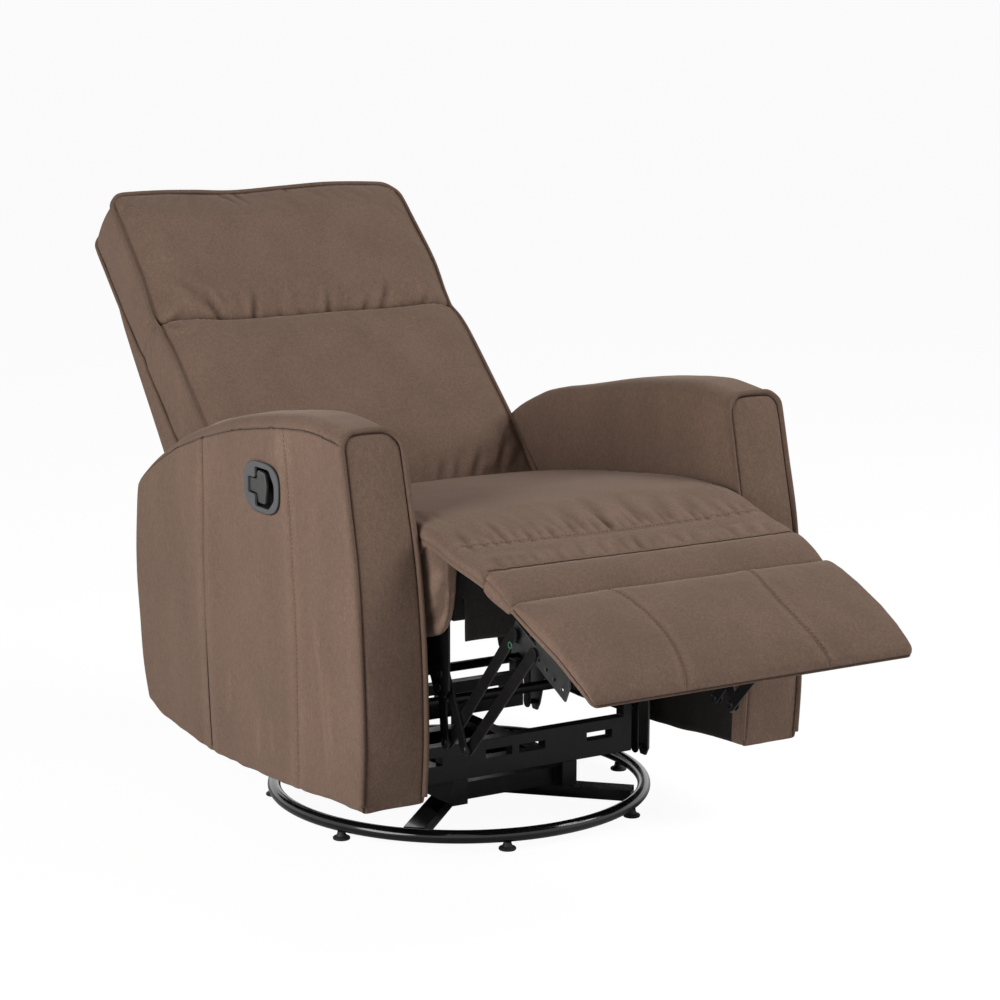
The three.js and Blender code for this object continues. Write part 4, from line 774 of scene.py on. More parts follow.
class RECLINER_OT_arms(bpy.types.Operator):
    """Covers both arms in cloth, with their seams and piping"""
    bl_idname = "recliner.arms"
    bl_label = "Arms"

    def execute(self, context):
        sizes = context.scene.recliner_arms
        for name, side in SIDES.items():
            inner, outer = sorted(abs(corner.x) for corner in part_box(f"arm_{name}"))
            shape = arm_shape(side, inner, outer, sizes.crown)
            cover = self.cover(name, side, outer - inner, shape, sizes)
            if side < 0:
                low, high = box_of("handle_cup")
                (_, y, z), (_, half_y, half_z) = (low + high) / 2, (high - low) / 2
                loops = [oval(y, z, half_y - 5 * MM, half_z - 7 * MM, x)
                         for x in (-outer - 12 * MM, -outer + 33 * MM)]
                cut_out(cover, skin(loops))
            self.trim(name, shape, sizes, surface(cover))
        return {"FINISHED"}

    def cover(self, name, side, width, shape, sizes):
        seams = [share * ARM_RUN for share in SEAM_MIDDLES]
        cuts = [stations(width, sizes.step, [WELT_SEAM, width - WELT_SEAM]),
                stations(ARM_RUN, sizes.step, [WELT_SEAM, *seams]),
                stations(ARM_RISE, sizes.step, [ARM_RISE - BAND_SEAM, ARM_RISE - WELT_SEAM])]
        mesh, shares = formed(f"arm_cover_{name}", cuts, shape)
        u, v, w = shares.T
        points = points_of(mesh)
        run, down = v * ARM_RUN, (1 - w) * ARM_RISE
        rim = np.minimum(inwards(u, width), down)
        front, outside = v < 1e-5, smooth(u, 0.6, 0.9)
        below = smooth(down, BAND_SEAM - 2 * MM, BAND_SEAM + 2 * MM)
        amount = 0
        for seam, share in zip(seams, SEAM_SHARES):
            off = run - seam
            amount = amount - sizes.seam_depth * share * hump(off) * outside * below
            amount += 1.2 * MM * hump(off, 9 * MM, 13 * MM) * outside * below
        amount -= sizes.seam_depth * hump(down - BAND_SEAM) * outside * smooth(v, 0.01, 0.03)
        amount -= 0.8 * sizes.seam_depth * hump(run - WELT_SEAM, 1.5 * MM) * ~front
        amount -= sizes.seam_depth * hump(rim - WELT_SEAM, 1.5 * MM) * front
        for start, end in SIDE_FOLDS:
            amount += FOLD_HEIGHT * crease(points[:, 1], points[:, 2], start, end, FOLD_WIDTH) * outside
        # Painted shade in the seams' grooves, and painted highlight on the ridges beside them and on the folds.
        paint_fold_shade(mesh, amount * 0.8)
        push(mesh, amount + self.ripples(points, shares, side, sizes.ripple) * smooth(rim + run, 0, 0.012))
        cover = add_piece(f"arm_cover_{name}", mesh, "brown_cloth black_lining", "chair", [f"arm_{name}"])
        for face in mesh.polygons:
            _, y, z = face.center - SHIFT
            inside = face.normal.x * side < -0.6 and y > LINING_FRONT and z < LINING_TOP - LINING_SLOPE * y
            if inside or face.normal.z < -0.8 and z < HEM:
                face.material_index = 1
        return cover

    def ripples(self, points, shares, side, height):
        """Soft unevenness of the cover, with upright folds low on its outer side and none near the handle."""
        u, v, w = shares.T
        low, high = box_of("handle_cup")
        _, y, z = (low + high) / 2
        free = smooth(np.hypot(points[:, 1] - y, points[:, 2] - z), 0.062, 0.1) if side < 0 else 1
        lower = (1 - smooth(w, 0.25, 0.75)) * smooth(u, 0.5, 0.9)
        total = 0
        for where, (amount, size, seed, stretch) in zip((height, height, lower, v < 1e-5), UNEVEN):
            total = total + amount * where * waves(points, size, seed + side, stretch)
        return total * free

    def trim(self, name, shape, sizes, tree):
        """The piping around the front, the stitched seam, and dark cords in the other seams as their painted
        shadow.
        """
        up, over = np.linspace(0.02, 1, 90), np.linspace(1, 0, 40)[1:-1]
        u = np.concatenate([np.ones(90), over, np.zeros(90)])
        w = np.concatenate([up, np.ones(38), up[::-1]])
        edge = evenly(shape(u, np.zeros_like(u), w), 260)
        edge[:, 1] -= 0.8 * MM
        add_piece(f"arm_piping_{name}", tube(edge, sizes.piping, 12), "piping_cloth", "chair")
        ones, band = np.ones(80), 1 - BAND_SEAM / ARM_RISE
        up = np.linspace(0.03, band - 6 * MM / ARM_RISE, 80)
        row = stitches(tree, shape(ones, ones * SEAM_MIDDLES[0] - 3.5 * MM / ARM_RUN, up))
        add_piece(f"arm_stitching_{name}", row, "thread", "chair")
        seams = [(ones * SEAM_MIDDLES[1], np.linspace(0.02, band, 80)),
                 (np.linspace(0.01, 0.985, 80), ones * band)]
        lines = [seam_shadow_cord(tree, shape(ones, *seam)) for seam in seams]
        add_piece(f"arm_seams_{name}", joined(lines), "seam_shadow", "chair")


# Release handle

# The cup's inner wall and the ring under its plate, both near-black as painted shade in the gaps: insets from
# its outline, and depths.
CUP_WALL = [(9 * MM, 27 * MM), (7 * MM, 25 * MM), (6.5 * MM, 3.5 * MM), (4 * MM, 3.5 * MM), (4.5 * MM, 28 * MM)]
CUP_SHADOW_RING = [(-0.8 * MM, 1.6 * MM), (-0.8 * MM, 3.6 * MM), (2 * MM, 3.8 * MM), (2 * MM, 1.4 * MM)]
NECK = 37 * MM


def oval(y, z, half_y, half_z, x, power=3.2, count=64):
    """A rounded loop in an upright plane."""
    turn = np.arange(count) * 2 * math.pi / count
    bend = lambda value: np.sign(value) * np.abs(value) ** (2 / power)
    return np.stack([np.full(count, x), y + half_y * bend(np.cos(turn)), z + half_z * bend(np.sin(turn))], 1)


def softened(corners, radius, count=7):
    """A closed outline through the corners, each rounded off."""
    corners = np.array(corners, float)
    points = []
    for before, corner, after in zip(np.roll(corners, 1, 0), corners, np.roll(corners, -1, 0)):
        ends = []
        for other in (before, after):
            length = np.linalg.norm(other - corner)
            ends.append(corner + (other - corner) / length * min(radius, length / 2.2))
        for share in np.linspace(0, 1, count):
            points.append((1 - share) ** 2 * ends[0] + 2 * share * (1 - share) * corner + share**2 * ends[1])
    return np.array(points)


def plate_of(outline, x_from, x_to, edge):
    """A plate of a given outline with softened edges."""
    middle = outline.mean(0)
    reach = np.linalg.norm(outline - middle, axis=1).max()
    loops = []
    for inset, x in ((edge, x_from), (edge * 0.3, x_from + edge * 0.3), (0, x_from + edge), (0, x_to - edge),
                     (edge, x_to)):
        ring = middle + (outline - middle) * (1 - inset / reach)
        loops.append(np.column_stack([np.full(len(ring), x), ring]))
    return skin(loops)


class HandleSizes(bpy.types.PropertyGroup):
    """Sizes of the release handle in the right arm."""
    plate: length_of("Plate", "Thickness of the cup's face plate", 3.4 * MM)
    lip: length_of("Lip", "Rounding of the plate's edge", 1.4 * MM)
    gap: length_of("Gap", "Room between the plate and the lever", 2.2 * MM)
    stem: length_of("Stem", "Half the height of the lever's stem", 10 * MM)


class RECLINER_OT_handle(bpy.types.Operator):
    """Makes the cup in the right arm and the T shaped lever in it"""
    bl_idname = "recliner.handle"
    bl_label = "Release handle"

    def execute(self, context):
        sizes = context.scene.recliner_handle
        low, high = box_of("handle_cup")
        (_, y, z), (_, half_y, half_z) = (low + high) / 2, (high - low) / 2
        face, floor = low.x, high.x
        first, last = box_of("release_handle")
        lip, gap, stem = sizes.lip, sizes.gap, sizes.stem
        neck = first.y + NECK

        def cup(profile, closed=False):
            """A ring along the cup's outline, from pairs of an inset and a depth."""
            return skin([oval(y, z, half_y - 1 * MM - inset, half_z - 2.5 * MM - inset, face + deep, 2.9)
                         for inset, deep in profile], closed)

        rim = [(lip, 0), (lip * 0.3, lip * 0.3), (0, lip), (0, sizes.plate - 0.4 * MM), (0.5 * MM, sizes.plate)]
        plate = add_piece("cup_plate", cup(rim), "grey_plastic", "chair", ["handle_cup"], sharp=45)
        rear, top, bottom, front = last.y + gap, last.z + gap, first.z - gap, first.y - 20 * MM
        opening = softened([(rear, z + stem + gap), (neck + gap, z + stem + gap), (neck + gap, top),
                            (front + 16 * MM, top), (front, z + 9 * MM), (front, z - 13 * MM),
                            (front + 17 * MM, bottom), (neck + gap, bottom), (neck + gap, z - stem - gap),
                            (rear, z - stem - gap)], 5 * MM)
        cut_out(plate, skin([np.column_stack([np.full(len(opening), face + deep), opening])
                             for deep in (-5 * MM, 8 * MM)]))
        # The well's wall and the ring under the plate are near-black: painted shade in the gaps around the
        # plate and lever.
        add_piece("cup_well", cup([*CUP_WALL, (9 * MM, floor - face)]), "dark_gap", "chair", sharp=45)
        add_piece("cup_edge", cup(CUP_SHADOW_RING, closed=True), "dark_gap", "chair")
        lever = softened([(last.y, z + stem), (neck, z + stem), (neck - 2 * MM, last.z - 3 * MM),
                          (first.y + 14 * MM, last.z - 5 * MM), (first.y + 8 * MM, z + 3 * MM),
                          (first.y + 13 * MM, first.z + 3 * MM), (neck - 4 * MM, first.z + 3 * MM),
                          (neck, z - stem), (last.y, z - stem)], 4 * MM)
        lever = plate_of(lever, first.x - 1 * MM, first.x + 4.4 * MM, 1 * MM)
        add_piece("handle_lever", lever, "lever_plastic", "handle", ["release_handle"], sharp=45)
        return {"FINISHED"}


# Back

BACK_RISE = math.radians(43.4)
BACK_FOOT = (0.208, 0.447)
BACK_LENGTH, HEAD_SEAM = 0.64, 0.367
BACK_HALF_WIDTH, BACK_DEPTH, BACK_CORNER = 0.2715, 0.092, 28 * MM
SHELL_LENGTH, SHELL_FOOT_DEPTH, SHELL_TOP_DEPTH = 0.592, 0.205, 0.114
SHELL_CORNER, SHELL_EDGE, SHELL_CROWN, SHELL_TUCK, SHELL_BULGE = 26 * MM, 5 * MM, 7 * MM, 8 * MM, 9 * MM
SIDE_SEAM = 5 * MM
TOP_EDGE = line_through([(-0.28, 0.637), (-0.244, 0.643), (-0.18, 0.6445), (-0.117, 0.6415), (-0.045, 0.6365),
                         (0.052, 0.642), (0.141, 0.646), (0.228, 0.642), (0.28, 0.634)])
# Folds on the two cushions and on their sides, in millimetres: from, to, depth and width.
HEAD_FOLDS = [((-168, 366), (-192, 416), 3.6, 4), ((-178, 378), (-236, 452), 2.0, 6),
              ((-111, 364), (-99, 406), 3.4, 4), ((26, 362), (35, 402), 3.2, 4),
              ((90, 362), (110, 388), 2.4, 4), ((125, 364), (152, 406), 3.0, 4),
              ((-23, 360), (-22, 376), 2.2, 4), ((-262, 372), (-214, 396), 2.4, 5),
              ((-60, 362), (-68, 388), 1.8, 4), ((205, 368), (224, 394), 2.0, 4),
              ((-45, 632), (-30, 580), 2.2, 4), ((-72, 634), (-45, 584), 2.6, 4),
              ((60, 640), (50, 620), 1.6, 4), ((165, 364), (176, 380), 1.6, 3.5)]
LUMBAR_FOLDS = [((150, 2), (180, 58), 3.2, 4), ((88, 2), (103, 42), 2.6, 4), ((118, 2), (134, 46), 2.6, 4),
                ((-40, 2), (-30, 50), 2.0, 5), ((-262, 362), (-236, 348), 2.4, 4),
                ((232, 358), (248, 346), 1.6, 4), ((200, 2), (232, 70), 2.4, 5)]
PLEATS = [((4, 0), (62, 24), 4, 4), ((6, 2), (70, -14), 3, 4), ((20, 26), (70, 34), 2, 4),
          ((16, -24), (60, -40), 2, 4)]

# Each cushion's start up the back and its seed, how far from the seam between the two and from its free
# end it still swells, and how wide and how deep it is tucked in at that seam.
CUSHIONS = {
    "lumbar_pillow": (-4 * MM, 11, 24 * MM, 110 * MM, 18 * MM, 13 * MM),
    "head_pillow": (HEAD_SEAM - 3 * MM, 23, 32 * MM, 62 * MM, 20 * MM, 17 * MM),
}
# The folds on each, and its gathers: share of the height, seed, and reach and pitch in millimetres,
# first from its lower and then from its upper edge.
CREASES = {
    "lumbar_pillow": (LUMBAR_FOLDS, ((0.8, 0, 40, 40), (0.4, 2, 22, 26))),
    "head_pillow": (HEAD_FOLDS, ((1, 0, 30, 26), (0.7, 1, 18, 44))),
}
SIDE_SWELL, OVERHANG, SIDE_BULGE, GUSSET_SEAM_DEPTH = 60 * MM, 10 * MM, 3.5 * MM, 2.2 * MM


def on_back(x, up, out):
    """Places on the back: up from its foot along its face, and out from the face."""
    y = BACK_FOOT[0] + up * math.cos(BACK_RISE) - out * math.sin(BACK_RISE)
    z = BACK_FOOT[1] + up * math.sin(BACK_RISE) + out * math.cos(BACK_RISE)
    return np.stack([x, y, z], 1)


def top_edge(x):
    """Where the back's upper edge is, up along its face."""
    return np.interp(x, *TOP_EDGE.T)


def back_half(up):
    """Half the back's width, drawn in where the seam of the head cushion meets the piping."""
    drawn_in = 2.5 * MM * hump(up - HEAD_SEAM, 15 * MM)
    return BACK_HALF_WIDTH + 2 * MM * (1 - smooth(up, 0.45, 0.6)) - drawn_in - 3 * MM * (1 - smooth(up, 0, 0.1))


def rim_out(up):
    """How far the back's piping stands out from its face: it dips beside the seam."""
    return 4 * MM - 13 * MM * hump(up - HEAD_SEAM - 20 * MM, 50 * MM)


def seam_bend(x):
    """How much higher the seam between the cushions ends than it runs in the middle."""
    return 11 * MM * smooth(-x, 0.14, 0.27) + 4 * MM * smooth(x, 0.16, 0.27)


class BackSizes(bpy.types.PropertyGroup):
    """Sizes of the back's cushions."""
    step: length_of("Mesh step", "Spacing of the cushions' points", 5 * MM)
    lumbar_crown: length_of("Lumbar crown", "How far the lower cushion stands out", 20 * MM)
    head_crown: length_of("Head crown", "How far the upper cushion stands out", 23 * MM)
    piping: length_of("Piping radius", "Radius of the corded edge", 3.6 * MM)
    seam_depth: length_of("Seam depth", "How far the seam beside the piping draws in", 2.4 * MM)
    gather: length_of("Gathers", "Height of the small folds at the seam", 1.8 * MM)


class RECLINER_OT_back(bpy.types.Operator):
    """Makes the two cushions of the back, and the padded shell behind them"""
    bl_idname = "recliner.back"
    bl_label = "Back"

    def execute(self, context):
        sizes = context.scene.recliner_back
        lumbar = self.cushion("lumbar_pillow", sizes.lumbar_crown, sizes)
        head = self.cushion("head_pillow", sizes.head_crown, sizes)
        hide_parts("lumbar_cushion")
        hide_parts("head_cushion")
        self.piping(sizes)
        self.shell()
        return {"FINISHED"}

    def cushion(self, name, crown, sizes):
        """The lower cushion, which ends at the seam, or the upper one, which ends at the back's upper edge."""
        head = name == "head_pillow"
        start, seed, swell, free_swell, lip, depth = CUSHIONS[name]
        folds, rows = CREASES[name]

        def lie(u, v):
            """Distances from the sides, the lower and the upper edge, and the place on the back's face."""
            x = (2 * u - 1) * BACK_HALF_WIDTH
            bottom = start + (seam_bend(x) if head else 0)
            top = top_edge(x) if head else HEAD_SEAM + seam_bend(x)
            up = bottom + v * (top - bottom)
            low, high, half = up - bottom, top - up, back_half(up)
            off = inwards(u, 2 * half)
            if head:
                off, high = rounded(off, high, BACK_CORNER)
            return off, low, high, across(u, half, off), top - high

        def shape(u, v, w):
            off, low, high, x, up = lie(u, v)
            from_seam, from_end = (low, high) if head else (high, low)
            rise = puff(off, SIDE_SWELL) * roll(from_seam, swell) * puff(from_end, free_swell)
            tuck = (1 - roll(from_seam, lip)) * depth
            if head:
                hang = OVERHANG * roll(low, 9 * MM) * (1 - smooth(low, 9 * MM, 50 * MM))
                up = up - hang * w * puff(off, 25 * MM)
            out = -BACK_DEPTH * (1 - w) + (crown * rise - tuck * puff(off, 12 * MM)) * w
            out = out + rim_out(up) * (1 - 0.7 * puff(off, 80 * MM)) * w
            return on_back(x + np.sign(x) * SIDE_BULGE * arch(w) * at_sides(u), up, out)

        width, length = 2 * BACK_HALF_WIDTH, (BACK_LENGTH if head else HEAD_SEAM) - start
        cuts = [stations(width, sizes.step, [SIDE_SEAM, width - SIDE_SEAM]),
                stations(length, sizes.step, [length - SIDE_SEAM] if head else []),
                stations(BACK_DEPTH, sizes.step * 1.5, [SIDE_SEAM, BACK_DEPTH - SIDE_SEAM])]
        mesh, shares = formed(name, cuts, shape)
        u, v, w = shares.T
        off, low, high, x, up = lie(u, v)
        front = smooth(w, 0.96, 1)
        rim = np.minimum(off, high if head else 1)
        stuffed(mesh, 1 - front * smooth(np.minimum(np.minimum(off, high), low), 4 * MM, 16 * MM))
        points = points_of(mesh)
        amount = folded(x, up, folds) * front
        amount -= sizes.seam_depth * hump(rim - SIDE_SEAM, 1.6 * MM) * front
        for edge, (share, number, reach, pitch) in zip((low, high), rows):
            amount += share * sizes.gather * gathers(x, edge, seed + number, reach * MM, pitch * MM) * front
        # Painted shade in the folds, gathers and side seam, painted highlight on their ridges, and a band of
        # painted shadow along the seam between the two cushions.
        paint_fold_shade(mesh, amount * 0.45 - 2.6 * MM * hump(low if head else high, 5 * MM) * front)
        amount += 1.3 * MM * waves(points, 0.12, seed) * front
        gusset = (1 - front) * at_sides(u)
        deep = (1 - w) * BACK_DEPTH
        for seam in (SIDE_SEAM, BACK_DEPTH - SIDE_SEAM):
            amount -= GUSSET_SEAM_DEPTH * hump(deep - seam, 1.6 * MM) * gusset
        amount += 1.4 * MM * waves(points, 0.045, seed + 5) * gusset
        amount += folded(deep, up - HEAD_SEAM, PLEATS) * gusset
        push(mesh, amount)
        return add_piece(name, mesh, "brown_cloth", "back")

    def piping(self, sizes):
        """The corded edges in front of and behind the cushions, from the left foot over the top."""
        rise, turn = np.linspace(0, 1, 240), np.linspace(0, 1, 180)[1:-1]
        u = np.concatenate([np.zeros(240), turn, np.ones(240)])
        v = np.concatenate([rise, np.ones(178), rise[::-1]])
        top = top_edge((2 * u - 1) * BACK_HALF_WIDTH)
        up = v * top
        half = back_half(up)
        off, high = rounded(inwards(u, 2 * half), top - up, BACK_CORNER)
        x = across(u, half, off)
        x = x + np.sign(x) * 2 * MM * smooth(high, 0, 0.05)
        up = top - high + 0.4 * MM * (1 - smooth(high, 0, 0.03))
        wave = waves(np.column_stack([x, up, np.zeros_like(x)]), 0.16, 4) * 1.2 * MM
        for name, out, radius in (("back_piping", wave + rim_out(up), sizes.piping),
                                  ("back_rear_piping", wave * 0.5 - BACK_DEPTH + 1 * MM, sizes.piping * 0.85)):
            add_piece(name, tube(evenly(on_back(x, up, out), 420), radius, 10), "piping_cloth", "back")

    def shell(self):
        """The padded box behind the cushions."""
        half = box_of("outer_back")[1].x - 0.5 * MM

        def shape(u, v, w):
            off, down = rounded(inwards(u, 2 * half), (1 - v) * SHELL_LENGTH, SHELL_CORNER)
            deep = SHELL_FOOT_DEPTH + (SHELL_TOP_DEPTH - SHELL_FOOT_DEPTH) * v - BACK_DEPTH
            off, back = rounded(off, w * deep, SHELL_EDGE)
            crown = SHELL_CROWN * arch(u) * np.clip(1 - (2 * v - 1) ** 4, 0, 1)
            tuck = (1 - roll(inwards(v, SHELL_LENGTH), 12 * MM)) * SHELL_TUCK
            bulge = SHELL_BULGE * smooth(v, 0.05, 0.3) * (1 - smooth(v, 0.8, 0.97))
            out = (tuck - crown - bulge) * (1 - w) + back - deep - BACK_DEPTH - 0.4 * MM
            return on_back(across(u, half, off), SHELL_LENGTH - down, out)

        cuts = [stations(2 * half, 9 * MM), stations(SHELL_LENGTH, 9 * MM), stations(60 * MM, 6 * MM)]
        mesh, _ = formed("back_shell", cuts, shape)
        push(mesh, 1.1 * MM * waves(points_of(mesh), 0.13, 31))
        add_piece("back_shell", mesh, "brown_cloth", "back", ["outer_back"])


# Seat

SEAT_REAR, SEAM_TWO, SEAM_ONE = 0.197, -0.501, -0.44
SEAT_TOP = line_through([(0.2, 0.450), (0.178, 0.453), (0.033, 0.476), (-0.103, 0.495), (-0.207, 0.508),
                         (-0.283, 0.512), (-0.346, 0.509), (-0.404, 0.5), (-0.45, 0.490), (-0.501, 0.4765),
                         (-0.53, 0.465), (-0.556, 0.456)])
SEAT_HALF_WIDTH, SEAT_SIDE_SEAM, SEAT_SIDE_HEIGHT = 0.2655, 17 * MM, 24 * MM
BOX_REAR, BOX_FRONT = (0.186, 0.378), (-0.43, 0.435)
SEAT_DEPTH, SEAT_NARROWING = 70 * MM, 5 * MM
SEAT_EDGE, SEAT_TUCK, SEAT_BULGE, SEAM_BOW = 8 * MM, 3.4 * MM, 2.5 * MM, 22 * MM
FLAP_HALF, FLAP_THICK, FLAP_RUN, FLAP_SEAM = 0.2606, 24 * MM, 70 * MM, 9 * MM
REST_START, REST_END, REST_HALF = 0.061, 0.2765, 0.2612
REST_LENGTH = REST_END - REST_START
REST_DROP = math.radians(26.3)
# Height of the footrest's upper edge, and depth of its lower edge, at places along it.
REST_EDGE = np.array([(0.061, 0.0), (0.064, 0.0045), (0.069, 0.0085), (0.078, 0.0125), (0.1, 0.0175),
                      (0.138, 0.0225), (0.19, 0.025), (0.23, 0.0225), (0.255, 0.0175), (0.269, 0.0125),
                      (0.2765, 0.0075)])
REST_LOW = np.array([(0.061, 0.012), (0.12, 0.008), (0.18, 0.0015), (0.24, 0.001), (0.2765, 0.002)])
REST_BELLY, REST_CORNER, STITCH_LINE = 17 * MM, 11 * MM, 0.102
# Roundings of the footrest: at its upper and lower side edges, and at its upper and lower tip, as the
# largest radius and as a share of its thickness there.
REST_EDGES = ((10 * MM, 0.45), (4 * MM, 0.3), (7 * MM, 0.45), (3 * MM, 0.3))
SKIRT_LOWER = line_through([(0.186, 0.3), (0.0, 0.318), (-0.2, 0.337), (-0.31, 0.349), (-0.35, 0.357),
                            (-0.373, 0.37), (-0.386, 0.392), (-0.391, 0.42), (-0.392, 0.45)], 200)
SKIRT_INSIDE, SKIRT_OUTSIDE, SKIRT_HEIGHT, SKIRT_RUN = 0.2405, 0.2682, 105 * MM, 0.68
SKIRT_REAR, SKIRT_FRONT, SKIRT_DROP, SKIRT_RECESS = 0.186, -0.392, 19 * MM, 13 * MM
SKIRT_FOLDS = [((-389, 440), (-352, 402), 4, 6), ((-392, 420), (-345, 372), 3, 6)]
LINING_HALF, LINING_FLARE, LINING_LOW, LINING_HIGH = 0.22, 17 * MM, 0.352, 0.458
# The folds behind the seat's front seams start at these places, and the long ones among them reach so far.
WRINKLES, WRINKLE_START, WRINKLE_PITCH = 26, -236, 18.5
LONG_WRINKLES = ((-60, 330), (-10, 310), (45, 318), (95, 340), (140, 352))


def seat_top(y):
    """Height of the seat's upper edge."""
    return np.interp(-y, -SEAT_TOP[:, 0], SEAT_TOP[:, 1])


def seat_base(y):
    """Height of the seat box's upper edge."""
    (rear, low), (front, high) = BOX_REAR, BOX_FRONT
    return low + (high - low) * (rear - y) / (rear - front)


def on_footrest(x, run, height):
    """Places on the footrest: along it from the crease, and up from its face."""
    y = CREASE.y - run * math.cos(REST_DROP) - height * math.sin(REST_DROP)
    z = CREASE.z - run * math.sin(REST_DROP) + height * math.cos(REST_DROP)
    return np.stack([x, y, z], 1)


def rest_rim(v):
    """How thick the footrest's edge is at shares of its length, and how high its seam runs there."""
    run = REST_START + v * REST_LENGTH
    thick = np.interp(run, *REST_EDGE.T) + np.interp(run, *REST_LOW.T)
    return thick, np.minimum(8 * MM, thick * 0.45)


def bow(v):
    """How far the footrest's two stitched lines bend outwards."""
    return 15 * MM * (2 * v - 1) ** 2


def wrinkles(depth):
    """Folds behind and between the seat's two front seams, in millimetres."""
    chance = lambda number, row: noise.noise(Vector((number * 1.7, row * 3.1, 0.4)))
    folds = []
    for number in range(WRINKLES):
        x = WRINKLE_START + number * WRINKLE_PITCH + 6 * chance(number, 1)
        lean = 8 + 14 * chance(number, 2)
        deep = depth * (0.55 + 0.9 * abs(chance(number, 3)))
        folds.append(((x, -436), (x + lean, -378 + 40 * chance(number, 4)), deep, 4))
        folds.append(((x + 9, -495), (x + 9 + lean, -456 + 14 * chance(number, 5)), deep * 0.8, 4.5))
    for x, reach in LONG_WRINKLES:
        folds.append(((x, -428), (x + 22, -reach), depth * 0.6, 7))
    return folds


class SeatSizes(bpy.types.PropertyGroup):
    """Sizes of the seat's cushion and footrest."""
    step: length_of("Mesh step", "Spacing of the cushions' points", 5 * MM)
    crown: length_of("Seat crown", "How far the seat's middle stands up", 6 * MM)
    footrest_crown: length_of("Footrest crown", "How far the footrest's middle stands up", 4 * MM)
    wrinkle: length_of("Wrinkles", "Depth of the folds near the seams", 2.3 * MM)


